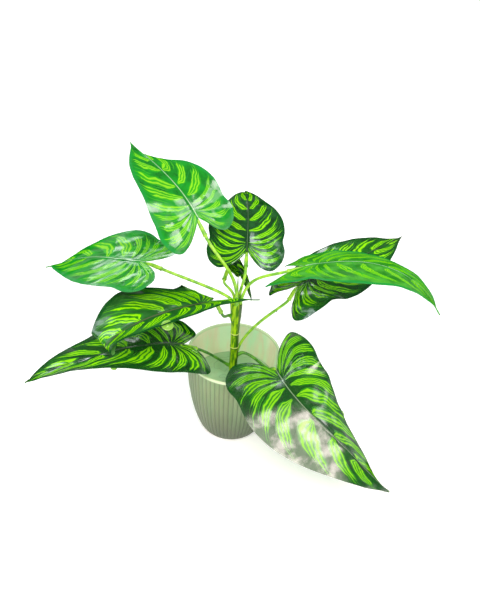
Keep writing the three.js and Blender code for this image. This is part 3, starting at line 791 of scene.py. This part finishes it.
def stalkPath(shape):
    form, stem = stalkForm, shape.form["stem"]
    lean, turn = unit(stem["lean"]), stem["angle"] * degree
    crown = "height" not in stem
    ring = form["crownRing" if crown else "trunkRadius"]
    inside = form["crownDepth" if crown else "sideDepth"]
    mouth = np.array([ring * math.cos(turn), ring * math.sin(turn), stem.get("height", form["crownHeight"])])
    tangent, socket = sleevePlace(shape)
    start = mouth - lean * (inside - form["plugGap"])
    leave = mouth + lean * form["straightEnd"]
    end = socket + tangent * (form["boreDepth"] - form["plugGap"])
    first, second = leave + lean * stem["lead"], socket - tangent * stem["back"]
    t = np.linspace(0, 1, form["bendSteps"])[:, None]
    u = 1 - t
    bend = u ** 3 * leave + 3 * u ** 2 * t * first + 3 * u * t * t * second + t ** 3 * socket
    t = np.linspace(0, 1, form["endSteps"])[:, None]
    return np.vstack([start + (leave - start) * t[:-1], bend, socket + (end - socket) * t[1:]])


def buildStalk(letter, shape, material, seed):
    form, radius, path = stalkForm, shape.form["stem"]["radius"], stalkPath(shape)
    run = np.concatenate([[0], np.cumsum(np.linalg.norm(np.diff(path, axis=0), axis=1))])
    out = run - form["flareStart"]
    flare = form["flare"] * np.exp(-np.maximum(out, 0) / form["flareFade"]) * (out > -form["flareRim"])
    radii = radius * (1 + flare)
    for height, wave, turns in form["waves"]:
        radii += height * np.sin(run / wave + turns * seed)
    radii = np.where(run > run[-1] - form["boreDepth"] - 1, radius * form["plugShare"], radii)
    parts = [(*sweepTube(path, radii, form["sides"]), 0)]
    if letter in stalkNubs:
        low = path[int(len(path) * stalkNubs[letter])] - np.array([0, 0, radius * nubForm["drop"]])
        parts.append((*sweepTube(low + np.array(nubForm["path"]), nubForm["radii"], nubForm["sides"]), 1))
    points, faces, kinds = joinParts(parts)
    addMesh(f"leafStalk{letter.upper()}", f"petiole_{letter}", points, faces,
            [material, darkPlastic], kinds)


# Places a depth under a blade, and which way it faces there
def underBlade(shape, hand, a, b, depth):
    small = 1e-3
    a = np.full(len(b), a)
    at, _ = shape.points(hand, a, b)
    nextA, _ = shape.points(hand, np.minimum(a + small, 1), b)
    nextB, _ = shape.points(hand, a, b + small)
    normal = np.cross(nextB - at, nextA - at) * hand
    normal /= np.maximum(np.linalg.norm(normal, axis=-1, keepdims=True), 1e-9)
    return at - normal * depth, normal


# Under a blade: sleeve stations as (share of its length, radius), the midrib bar's radius
# at the notch and what it loses to the tip, side ribs as (outline step, reach), and a rib bar as
# (first radius, last radius, steps, depth under the blade), in mm
backingForm = {
    "sleeve": [(0.0, 2.65), (0.03, 2.9), (0.1, 2.9), (0.16, 2.552), (0.24, 2.436), (0.5, 2.552), (0.8, 2.436),
               (1, 2.088)],
    "sleeveSides": 20, "mouthGap": 0.2, "mouthDepth": 4,
    "bar": (1.45, 0.9), "barSpan": (-0.05, 0.8), "barSteps": 34, "barDrop": (0.2, 0.85),
    "ribs": [(3, 0.33), (9, 0.67)], "rib": (0.8, 0.45, 14, 0.9), "ribStart": 0.02, "ribSides": 10,
    "padReach": 0.98, "padRib": (0.7, 0.5, 24, 1.0), "padSides": 26,
    "padRim": [(0, -0.75), (2.6, -0.7), (3.3, -0.45), (3.55, 0), (3.3, 0.4), (2.6, 0.6), (1.3, 0.5),
               (1.1, 0.85), (0, 0.9)],
}
# The clear pads against the plain one: size, shift outward and drop in mm, and the way that one faces
plainPad = {"size": 1.0, "shift": 0.0, "drop": 0.0}
padForms = {
    "c": {"size": 1.9, "shift": -1.6, "drop": 1.6, "facing": (0.1, -0.3, 0.95)},
    "i": {"size": 1.3, "shift": 1.0},
}


# Sleeve with a collar and a real mouth, running on into the midrib bar
def sleeveParts(shape, seat):
    form, sides = backingForm, backingForm["sleeveSides"]
    tangent, back = sleevePlace(seat)
    s = np.linspace(*form["barSpan"], form["barSteps"])
    bar = form["bar"][0] - form["bar"][1] * np.clip(s, 0, 1)
    _, up = shape.frameAt(s)
    under = shape.centre(s) - up * (form["barDrop"][0] + bar * form["barDrop"][1])[:, None]
    shares, widths = np.array(form["sleeve"]).T
    straight = back + tangent * (shares * stalkForm["sleeveLength"])[:, None]
    radii = np.concatenate([widths, bar])
    points, faces = sweepTube(np.vstack([straight, under]), radii, sides, openStart=True)

    # The mouth is a tube turned outside in, with its points lined up with the sleeve's
    hole = shape.form["stem"]["radius"] + form["mouthGap"]
    inner, _ = sweepTube([back, back + tangent * form["mouthDepth"]], [hole, hole], sides)
    turn = int(np.argmin(np.linalg.norm(points[:sides] - inner[0], axis=1)))
    inner = np.vstack([np.roll(ring, turn, 0) for ring in (inner[:sides], inner[sides:])])
    shift = len(points)
    faces += bandFaces(shift, shift + sides, sides) + [[shift + sides + i for i in range(sides)]]
    faces += [[shift + (i + 1) % sides, (i + 1) % sides, i, shift + i] for i in range(sides)]
    return np.vstack([points, inner]), faces


def ribBar(shape, hand, row, reach, bar):
    first, last, steps, depth = bar
    b = np.linspace(backingForm["ribStart"], reach, steps)
    at, normal = underBlade(shape, hand, row / outlineSteps, b, depth)
    tube = sweepTube(at, np.linspace(first, last, steps), backingForm["ribSides"])
    return (*tube, 0), at, normal


def buildBacking(letter, shape, seat, materials):
    form = backingForm
    parts = [(*sleeveParts(shape, seat), 0)]
    parts += [ribBar(shape, hand, *rib, form["rib"])[0] for hand in (1, -1) for rib in form["ribs"]]
    if shape.form.get("pad"):
        hand, row = shape.form["pad"]
        tube, at, normal = ribBar(shape, hand, row, form["padReach"], form["padRib"])
        pad = {**plainPad, "facing": normal[-1], **padForms.get(letter, {})}
        rim = [(radius * pad["size"], height) for radius, height in form["padRim"]]
        spot = at[-1] + unit(at[-1] - at[-2]) * pad["shift"] - np.array([0, 0, pad["drop"]])
        parts += [tube, (*turnedAt(rim, spot, pad["facing"], form["padSides"]), 1)]
    points, faces, kinds = joinParts(parts)
    addMesh(f"leafBacking{letter.upper()}", f"rib_{letter}", points, faces, materials, kinds)


# Looks of the leaves, colours as linear light. The pale midrib line colour and its share are a painted
# highlight
darkLeaf = {
    "ground": (0.002, 0.04, 0.003), "groundPale": (0.006, 0.07, 0.008), "band": (0.018, 0.19, 0.005),
    "lime": (0.22, 0.62, 0.002), "streak": (0.04, 0.28, 0.008), "border": (0.004, 0.065, 0.008),
    "midrib": (0.004, 0.045, 0.006), "paintedGlint": (0.35, 0.5, 0.3), "paintedGlintShare": 0.15,
    "width": 0.66, "strands": 3.0, "ends": (0.9, 0.96), "lastBand": 9.7, "edge": 0.95,
    "sweep": 1.0, "warp": 0.6, "fray": 0.16, "waver": 1.2,
    "rough": 0.18, "coat": 0.7, "gloss": 0.5, "filmRough": 0.05,
}
brightLeaf = {
    **darkLeaf,
    "ground": (0.004, 0.165, 0.008), "groundPale": (0.01, 0.26, 0.018), "band": (0.025, 0.34, 0.008),
    "lime": (0.19, 0.55, 0.014), "streak": (0.04, 0.4, 0.01), "border": (0.012, 0.24, 0.035),
    "midrib": (0.01, 0.2, 0.02), "paintedGlint": (0.5, 0.75, 0.45), "paintedGlintShare": 0.7, "width": 0.56,
}
leafLooks = {
    "a": {**brightLeaf, "seed": 1.3, "lastBand": 8.8, "ends": (0.9, 0.98), "coat": 0.9, "gloss": 0.85,
          "sweep": 0.7},
    "b": {**brightLeaf, "seed": 2.7, "lastBand": 9.3, "coat": 1.0, "gloss": 0.9, "filmRough": 0.12},
    "c": {**darkLeaf, "seed": 3.1, "midrib": (0.07, 0.075, 0.035), "paintedGlintShare": 0.1, "ends": (0.86, 0.97),
          "ground": (0.01, 0.08, 0.01), "groundPale": (0.025, 0.13, 0.025), "strands": 3.6, "width": 0.68,
          "coat": 0.3, "gloss": 0.3},
    "d": {**darkLeaf, "seed": 4.9, "ends": (0.88, 0.97)},
    "e": {**darkLeaf, "seed": 5.2, "ends": (0.93, 0.98), "width": 0.54, "ground": (0.004, 0.045, 0.006),
          "groundPale": (0.014, 0.085, 0.02), "sweep": 1.3},
    # f hangs in shadow behind e, so its deeper ground colours are painted shade
    "f": {**darkLeaf, "seed": 6.6, "ground": (0.001, 0.022, 0.001), "groundPale": (0.004, 0.05, 0.004),
          "width": 0.4, "coat": 0.05, "gloss": 0.08},
    "g": {**brightLeaf, "seed": 7.4, "ground": (0.014, 0.17, 0.008), "groundPale": (0.06, 0.33, 0.03),
          "fray": 0.3, "lime": (0.19, 0.52, 0.008), "width": 0.42, "strands": 4.0, "sweep": 1.8,
          "coat": 0.3, "gloss": 0.3},
    "h": {**darkLeaf, "seed": 8.8, "ground": (0.004, 0.05, 0.004), "groundPale": (0.012, 0.11, 0.012),
          "coat": 1.0, "gloss": 0.9},
    "i": {**darkLeaf, "seed": 9.5, "ends": (0.93, 1.1), "lime": (0.17, 0.5, 0.004), "strands": 3.8,
          "width": 0.72, "sweep": 0.7, "coat": 0.9, "gloss": 0.8, "lastBand": 9.2, "filmRough": 0.2,
          "rough": 0.26, "paintedGlintShare": 0.5, "edge": 0.985},
}
# What all films share. Gloss fades between two facings, to what is left where a film is seen edge on,
# and keeps a share on lime bands. Patches are its shares in the pale and the deep parts of the grain
filmForm = {
    "streakShare": 0.8, "sideShare": 0.5, "toneSpan": (0.35, 0.65), "roughSpan": 0.14,
    "glossSpan": (0.38, 0.68), "glossLeast": 0.0, "glossOnLime": 0.55, "patchSpan": (0.38, 0.6),
    "patches": (1.25, 0.35), "bump": (0.35, 0.0006),
}


# A finish begins with the moulded grain, laid on the flattened blade or on the piece itself
def startFinish(name, crumpled, lines, uvMap=None):
    material, desk, shader = newMaterial(name)
    if uvMap:
        place = desk.take("ShaderNodeUVMap", settings={"uv_map": uvMap})
    else:
        place = desk.take("ShaderNodeTexCoord", "Object")
    grain = placeGroup(desk, grainGroup, Vector=place, Crumple=crumpled, Lines=lines)
    return material, desk, shader, place, grain


def leafFinish(letter):
    look, form = leafLooks[letter], filmForm
    material, desk, shader, flat, grain = startFinish(
        f"stripedFilm{letter.upper()}", crumpled=0.5, lines=0.25, uvMap="flat")
    veins = desk.take("ShaderNodeUVMap", settings={"uv_map": "veins"})
    bands = placeGroup(desk, featherGroup, Veins=veins, Seed=look["seed"], Width=look["width"],
                       Strands=look["strands"], Sweep=look["sweep"], Warp=look["warp"], Fray=look["fray"],
                       Waver=look["waver"], Right_End=look["ends"][0], Left_End=look["ends"][1],
                       Last_Band=look["lastBand"])
    lines = placeGroup(desk, veinGroup, Veins=veins, Flat=flat, Border=look["edge"])
    color = desk.blend(desk.ease(grain["Tone"], *form["toneSpan"]), look["ground"], look["groundPale"])
    for share, tint in (
            (bands["Streak"] * form["streakShare"], "streak"),
            (bands["Band"], "band"),
            (bands["Strand"], "lime"),
            (lines["Border"], "border"),
            (lines["Side"] * form["sideShare"], "border"),
            (lines["Midrib"], "midrib"),
            # The last layer is a painted highlight, a thin pale line along the midrib
            (lines["Glint"] * look["paintedGlintShare"], "paintedGlint")):
        color = desk.blend(share, color, look[tint])
    facing = desk.take("ShaderNodeLayerWeight", "Facing", Blend=0.5)
    gloss = desk.ease(facing, *form["glossSpan"], 1.0, form["glossLeast"])
    gloss = gloss * desk.ease(bands["Strand"], 0.0, 1.0, 1.0, form["glossOnLime"])
    gloss = gloss * desk.ease(grain["Tone"], *form["patchSpan"], *form["patches"])
    rough = grain["Tone"] * form["roughSpan"] + (look["rough"] - form["roughSpan"] / 2)
    desk.feed(shader, Base_Color=color, Roughness=rough, Specular_IOR_Level=look["gloss"] / 2)
    desk.feed(shader, Coat_Weight=gloss * look["coat"], Specular_IOR_Level=gloss * look["gloss"],
              Coat_Roughness=look["filmRough"], Normal=desk.bump(grain["Height"], *form["bump"]))
    return material


# Plain moulded finishes in two tones. Grain is crumple, lines and, on a blade, the map it lies on
plainLooks = {
    "filmBack": {"color": (0.06, 0.24, 0.04), "pale": (0.14, 0.36, 0.09), "rough": 0.55, "gloss": 0.12,
                 "grain": (0.35, 0.6, "flat"), "bump": (0.5, 0.0005)},
    "clearPad": {"color": (0.2, 0.5, 0.04), "pale": (0.34, 0.62, 0.12), "rough": 0.2, "clear": 0.35,
                 "grain": (0.5, 0.1)},
    "darkNub": {"color": (0.012, 0.03, 0.01), "pale": (0.04, 0.07, 0.02), "rough": 0.5, "grain": (0.5, 0.3)},
}


def plainFinish(name):
    look = plainLooks[name]
    material, desk, shader, _, grain = startFinish(name, *look["grain"])
    desk.feed(shader, Base_Color=desk.blend(grain["Tone"], look["color"], look["pale"]),
              Roughness=look["rough"], Specular_IOR_Level=look.get("gloss", 0.5),
              Transmission_Weight=look.get("clear", 0.0))
    if "bump" in look:
        desk.feed(shader, Normal=desk.bump(grain["Height"], *look["bump"]))
    return material


# Stalks in two colours, with deeper blotches. How far light scatters inside is in metres
stalkLooks = {
    "limeStalk": {"color": (0.3, 0.58, 0.03), "deep": (0.13, 0.38, 0.02), "rough": 0.32},
    "deepStalk": {"color": (0.09, 0.3, 0.02), "deep": (0.02, 0.13, 0.012), "rough": 0.35},
}
stalkBlotch = {"scale": 120.0, "span": (0.4, 0.62), "scatter": 0.15, "reach": (0.002, 0.003, 0.001)}


def stalkFinish(name):
    look, form = stalkLooks[name], stalkBlotch
    material, desk, shader, place, grain = startFinish(name, crumpled=0.3, lines=0.6)
    blotch = desk.ease(desk.noise(place, form["scale"], 3.0), *form["span"])
    desk.feed(shader, Base_Color=desk.blend(blotch, look["color"], look["deep"]), Roughness=look["rough"],
              Subsurface_Weight=form["scatter"], Subsurface_Radius=form["reach"],
              Normal=desk.bump(grain["Height"], strength=0.3, distance=0.0004))
    return material


# Trunk in mm: profile as (radius, height), levels as (from, to, how many rings of points), waves as
# (height, waves round, turn with the height, phase), joints at the heights in rings, a slanted
# sheath edge, and scars round the side stalks
trunkForm = {
    "profile": [(5.2, 30.3), (5.4, 76), (5.5, 100), (5.4, 129), (5.5, 133), (5.4, 151), (5.5, 155),
                (5.8, 168), (6.5, 176), (6.6, 184), (7.3, 193), (7.5, 199), (7.2, 200.3)],
    "levels": [(30.3, 76, 12), (78, 126, 40), (126.5, 136, 26), (137, 148, 12), (148.5, 158, 26),
               (159, 168, 10), (168.5, 186, 36), (187, 200.3, 20)],
    "sides": 56, "waves": [(0.12, 7, 0.05, 0), (0.1, 3, 0.11, 1)],
    "rings": (153, 131), "ringRise": 0.55, "ringWidth": 0.8,
    "grooveDepth": 0.35, "grooveDrop": 1.9, "grooveWidth": 0.7,
    "sheath": 176, "sheathSlant": 3.2, "sheathTurn": 0.5, "sheathStep": 0.5, "sheathEdge": 0.8,
    "sheathFade": 9, "scarRise": 1.1, "scarWidth": 3.2, "scarTall": 0.8, "scarDrop": 1,
    "capShare": 0.55, "capRise": 0.6, "capWave": (0.5, 4),
    "shoot": 42, "shootStart": 199, "shootLean": (0.4, 0.3), "shootTurn": 2.5, "shootRadius": 1.55,
    "shootTip": 0.12, "shootTaper": 1.7, "shootBud": (0.25, 0.35, 0.12), "shootSteps": 26, "shootSides": 14,
}
# Trunk colours. The shade tint darkens the trunk's +x side as painted shade. At each ring a pale line on the
# ridge is a painted highlight, and a dark line in the groove under it is painted shade
trunkLook = {
    "lime": (0.3, 0.54, 0.003), "green": (0.05, 0.19, 0.002), "shade": (0.008, 0.05, 0.001),
    "pale": (0.6, 0.75, 0.15), "streakScale": 320.0, "streakTall": (1.0, 1.0, 0.16),
    "streakSpan": (0.42, 0.6), "shadeSpan": (0.0012, 0.0045), "shadeShare": 0.85,
    "shadeWarp": 0.006, "ringHighlight": (0.0002, 0.001), "ringGrooveShade": (-0.0017, 0.0011), "lineCore": 0.0004,
    "lineShare": 0.8, "rough": 0.36, "gloss": 0.25,
}


def buildTrunk(material, shapes):
    form, turn = trunkForm, ringTurn(trunkForm["sides"])
    heights = np.concatenate([np.linspace(*level) for level in form["levels"]])
    radii, places = zip(*form["profile"])
    base = np.interp(heights, places, radii)
    for ring in form["rings"]:
        base += form["ringRise"] * hump(heights - ring, form["ringWidth"])
        base -= form["grooveDepth"] * hump(heights - ring + form["grooveDrop"], form["grooveWidth"])
    up = heights[:, None]
    step = up - form["sheath"] - form["sheathSlant"] * np.cos(turn - form["sheathTurn"])
    fade = np.exp(-np.maximum(step, 0) / form["sheathFade"])
    radius = base[:, None] + form["sheathStep"] * np.clip(step / form["sheathEdge"], -0.5, 0.5) * fade
    for height, number, twist, phase in form["waves"]:
        radius += height * np.sin(turn * number + up * twist + phase)
    for shape in shapes.values():
        stem = shape.form["stem"]
        if "height" in stem:
            gap = (turn - stem["angle"] * degree + np.pi) % (2 * np.pi) - np.pi
            tall = (up - stem["height"] + form["scarDrop"]) * form["scarTall"]
            far = np.hypot(gap * stalkForm["trunkRadius"], tall)
            radius += form["scarRise"] * hump(far, form["scarWidth"])
    points = ringPoints(radius, up, turn)
    points[-1, :, 2] += form["capWave"][0] * np.sin(turn * form["capWave"][1])
    cap = points[-1] * [form["capShare"], form["capShare"], 1] + [0, 0, form["capRise"]]
    body = np.vstack([points.reshape(-1, 3), cap])
    t = np.linspace(0, 1, form["shootSteps"])
    leanX, leanY = form["shootLean"]
    rise = form["shootStart"] + (form["shoot"] + 1) * t
    path = np.stack([leanX * np.sin(t * form["shootTurn"]), leanY * t, rise], -1)
    more, place, width = form["shootBud"]
    bud = 1 + more * hump(t - place, width)
    radii = form["shootRadius"] * (1 - t ** form["shootTaper"]) * bud + form["shootTip"]
    points, faces, kinds = joinParts([(body, stackFaces(len(heights) + 1, form["sides"]), 0),
                                      (*sweepTube(path, radii, form["shootSides"]), 0)])
    addMesh("jointedTrunk", "trunk", points, faces, [material], kinds)


def trunkFinish():
    look = trunkLook
    material, desk, shader, place, grain = startFinish("jointedStem", crumpled=0.4, lines=0.5)
    x, _, z = desk.split(place)
    tall = desk.noise(desk.stretch(place, look["streakTall"]), look["streakScale"], 3.0, 0.55)
    color = desk.blend(desk.ease(tall, *look["streakSpan"]), look["lime"], look["green"])
    shadow = desk.ease(x + (tall - 0.5) * look["shadeWarp"], *look["shadeSpan"])
    color = desk.blend(shadow * look["shadeShare"], color, look["shade"])
    # Painted highlight on each ring's ridge, and painted shade in the groove under it
    for ring in trunkForm["rings"]:
        for (off, wide), tint in ((look["ringHighlight"], "pale"), (look["ringGrooveShade"], "shade")):
            line = desk.ease(abs(z - (ring * mm + off)), wide, look["lineCore"])
            color = desk.blend(line * look["lineShare"], color, look[tint])
    desk.feed(shader, Base_Color=color, Roughness=look["rough"], Specular_IOR_Level=look["gloss"],
              Normal=desk.bump(grain["Height"], strength=0.4, distance=0.0006))
    return material


# Planter in mm: profile as (radius, share of the height), foot as (radius, height) from inside out,
# and the shares of the height where the outer wall has its rings of points
planterForm = {
    "height": 121, "radius": 60, "wall": 2.6, "floor": 4, "fillTop": 75, "fillGap": 0.4,
    "profile": [(38, 0), (41, 0.03), (44.5, 0.1), (49.2, 0.22), (53.7, 0.38), (57.6, 0.6), (59.7, 0.85),
                (59.9, 0.965), (60, 1)],
    "smoothing": (-0.03, -0.015, 0, 0.015, 0.03), "smoothEnd": 0.04,
    "foot": [(33.5, 0.7), (34.5, 0)],
    "flutes": 60, "perFlute": 8, "depth": 1.2, "bulge": 0.65, "fluteStart": (0.004, 0.05),
    "lip": 3.4, "fluteEnd": 0.012, "lipRound": 1.1, "lipSteps": 9,
    "outerShares": [(0, 0.014, 3), (0.024, 0.955, 46), (0.962, 0.985, 6)], "innerShares": (0.975, 0.05, 26),
    "floorEdge": (0.05, 2),
}
# Planter colours. The inside's tints are brightened close to white as painted light. The outside's flute
# grooves and its foot are darkened with painted shade
planterLook = {
    "outside": {"plain": (0.14, 0.222, 0.094), "cloud": (0.19, 0.29, 0.136), "vein": (0.22, 0.22, 0.12),
                "rim": (0.5, 0.62, 0.38), "scale": 24.0, "veinShare": 0.3},
    "inside": {"plain": (0.97, 0.98, 0.74), "cloud": (0.62, 0.92, 0.62), "vein": (0.88, 0.74, 0.54),
               "rim": (0.62, 0.76, 0.48), "scale": 14.0, "veinShare": 0.6},
    "shade": (0.02, 0.03, 0.012), "footShade": 0.72, "footReach": 0.11, "grooveShade": 0.45,
    "grooveSpan": (0.55, 0.0), "grooveEnd": (0.117, 0.114), "rimSpan": (0.1165, 0.1185),
    "rough": 0.42, "roughSpan": 0.12,
}


# The outer radius at a share of the height, smoothed a little so that the profile shows no corners
def planterRadius(share):
    radii, shares = zip(*planterForm["profile"])
    spread = np.array(planterForm["smoothing"]) * ramp(min(share, 1 - share), 0, planterForm["smoothEnd"])
    return np.interp(np.clip(share + spread, 0, 1), shares, radii).mean()


def buildPlanter(materials):
    form, height, wall = planterForm, planterForm["height"], planterForm["wall"]
    sides = form["flutes"] * form["perFlute"]
    turn = ringTurn(sides)
    groove = 1 - np.abs(np.cos(turn * form["flutes"] / 2)) ** form["bulge"]
    rings = list(form["foot"])
    for share in np.concatenate([np.linspace(*part) for part in form["outerShares"]]):
        depth = form["depth"] * ramp(share, *form["fluteStart"])
        depth *= ramp((height - form["lip"]) / height - share, 0, form["fluteEnd"])
        rings.append((planterRadius(share) - depth * groove, share * height))
    middle, curve = form["radius"] - wall / 2, form["lipRound"]
    outer = len(rings) + form["lipSteps"] // 2 + 1
    for angle in np.linspace(0, np.pi, form["lipSteps"]):
        rings.append((middle + wall / 2 * np.cos(angle), height - curve + curve * np.sin(angle)))
    for share in np.linspace(*form["innerShares"]):
        rings.append((planterRadius(share) - wall, share * height))
    share, step = form["floorEdge"]
    rings.append((planterRadius(share) - wall - step, form["floor"]))
    points = np.vstack([ringPoints(radius, z, turn) for radius, z in rings])
    # Faces up to the middle of the lip are outside, and those after it inside
    kinds = [0] * (outer * sides) + [1] * ((len(rings) - 1 - outer) * sides) + [0, 1]
    addMesh("planter", "pot", points, stackFaces(len(rings), sides), materials, kinds)


def planterFinish(name, side):
    look, form = {**planterLook, **planterLook[side]}, planterForm
    material, desk, shader, place, grain = startFinish(name, crumpled=0.2, lines=0.15)
    marble = placeGroup(desk, marbleGroup, Vector=place, Upright=0.2, Scale=look["scale"])
    x, y, z = desk.split(place)
    color = desk.blend(marble["Cloud"], look["plain"], look["cloud"])
    color = desk.blend(marble["Vein"] * look["veinShare"], color, look["vein"])
    if side == "outside":
        angle = desk.calc("ARCTAN2", y, x)
        rib = abs(desk.calc("COSINE", angle * (form["flutes"] / 2)))
        groove = desk.ease(rib, *look["grooveSpan"], 0.0, look["grooveShade"])
        foot = desk.ease(z, 0.0, look["footReach"], look["footShade"], 0.0)
        for shade in (groove * desk.ease(z, *look["grooveEnd"]), foot):
            color = desk.blend(shade, color, look["shade"])
    color = desk.blend(desk.ease(z, *look["rimSpan"]), color, look["rim"])
    rough = grain["Tone"] * look["roughSpan"] + (look["rough"] - look["roughSpan"] / 2)
    desk.feed(shader, Base_Color=color, Roughness=rough,
              Normal=desk.bump(grain["Height"], strength=0.15, distance=0.0005))
    return material


# Filling in mm: a plain hole for the trunk, a top with swells as (seed, size, height), a rounded edge
# as (step in, rise), and a side that follows the planter at shares of its height
fillingForm = {
    "sides": 96, "hole": 5.8, "holeEnd": 30.0, "topStart": (6.4, 8), "topRings": 26, "topEdge": 2.5,
    "sink": 0.2, "swells": [(31, 30, 0.28), (32, 8, 0.08)], "edge": [(1.4, 0.15), (0.6, 0.1), (0, -0.5)],
    "side": (0.58, 0.5, 0.38, 0.22, 0.09), "lowest": (0.05, 3, 0.3),
}
# The crease colour draws thin dark lines as painted shade, for creases that the top's shape doesn't have
fillingLook = {
    "color": (0.27, 0.48, 0.27), "pale": (0.4, 0.62, 0.38), "warm": (0.4, 0.45, 0.22), "warmShare": 0.2,
    "creaseShade": (0.03, 0.1, 0.05), "creaseScale": 34.0, "creaseLevel": 0.47, "creaseWidth": 0.012,
    "creaseShare": 0.4, "marble": 22.0, "rough": 0.55,
}


def buildFilling(material):
    form, height, top = fillingForm, planterForm["height"], planterForm["fillTop"]
    inset, turn = planterForm["wall"] + planterForm["fillGap"], ringTurn(fillingForm["sides"])
    edge = planterRadius(top / height) - inset
    rings = [ringPoints(form["hole"], z, turn) for z in (form["holeEnd"], top)]
    first, second = form["topStart"]
    for radius in (first, *np.linspace(second, edge - form["topEdge"], form["topRings"])):
        ring = ringPoints(radius, top - form["sink"], turn)
        ring[:, 2] += sum(crumple(ring[:, :2], seed, size) * rise for seed, size, rise in form["swells"])
        rings.append(ring)
    rings += [ringPoints(edge - step, top + rise, turn) for step, rise in form["edge"]]
    rings += [ringPoints(planterRadius(share) - inset, share * height, turn) for share in form["side"]]
    share, step, rise = form["lowest"]
    radius = planterRadius(share) - planterForm["wall"] - step
    rings.append(ringPoints(radius, planterForm["floor"] + rise, turn))
    addMesh("planterFilling", "filling", np.vstack(rings), tubeFaces(len(rings), form["sides"]),
            [material])


def fillingFinish():
    look = fillingLook
    material, desk, shader, place, grain = startFinish("castFilling", crumpled=0.6, lines=0.1)
    marble = placeGroup(desk, marbleGroup, Vector=place, Upright=1.0, Scale=look["marble"])
    color = desk.blend(marble["Cloud"], look["color"], look["pale"])
    color = desk.blend(marble["Vein"] * look["warmShare"], color, look["warm"])
    # Thin dark lines along one level of a noise: painted shade in creases
    creaseShade = abs(desk.noise(place, look["creaseScale"], 2.0) - look["creaseLevel"])
    creaseShade = desk.ease(creaseShade, 0.0, look["creaseWidth"], look["creaseShare"], 0.0)
    desk.feed(shader, Base_Color=desk.blend(creaseShade, color, look["creaseShade"]), Roughness=look["rough"],
              Normal=desk.bump(grain["Height"], strength=0.4, distance=0.0008))
    return material


makeCamera()
makeLights()
makeWorld()
makeFloor()
print("camera and studio ready")

featherGroup, veinGroup = makeFeatherGroup(), makeVeinGroup()
grainGroup, marbleGroup = makeGrainGroup(), makeMarbleGroup()
filmBack, clearPad, darkPlastic = [plainFinish(name) for name in ("filmBack", "clearPad", "darkNub")]
limeStalk, deepStalk = stalkFinish("limeStalk"), stalkFinish("deepStalk")
print("finishes ready")

buildPlanter([planterFinish("planterOutside", "outside"), planterFinish("planterInside", "inside")])
buildFilling(fillingFinish())
print("planter and filling built")

shapes = {letter: LeafShape(form) for letter, form in leafForms.items()}
for number, (letter, seat) in enumerate(shapes.items()):
    shape = seat
    if letter in bladeTurns:
        rolls = [have + more for have, more in zip(seat.form["roll"], bladeTurns[letter])]
        shape = LeafShape({**leafForms[letter], "roll": rolls})
    slot = "blade_bright" if letter in "abg" else "blade_dark"
    buildBlade(letter, shape, [leafFinish(letter), filmBack], 11 * number + 3)
    buildBacking(letter, shape, seat, [limeStalk, clearPad])
    buildStalk(letter, seat, deepStalk if letter in "cdi" else limeStalk, number)
print("nine leaves built")

buildTrunk(trunkFinish(), shapes)
print("trunk built")
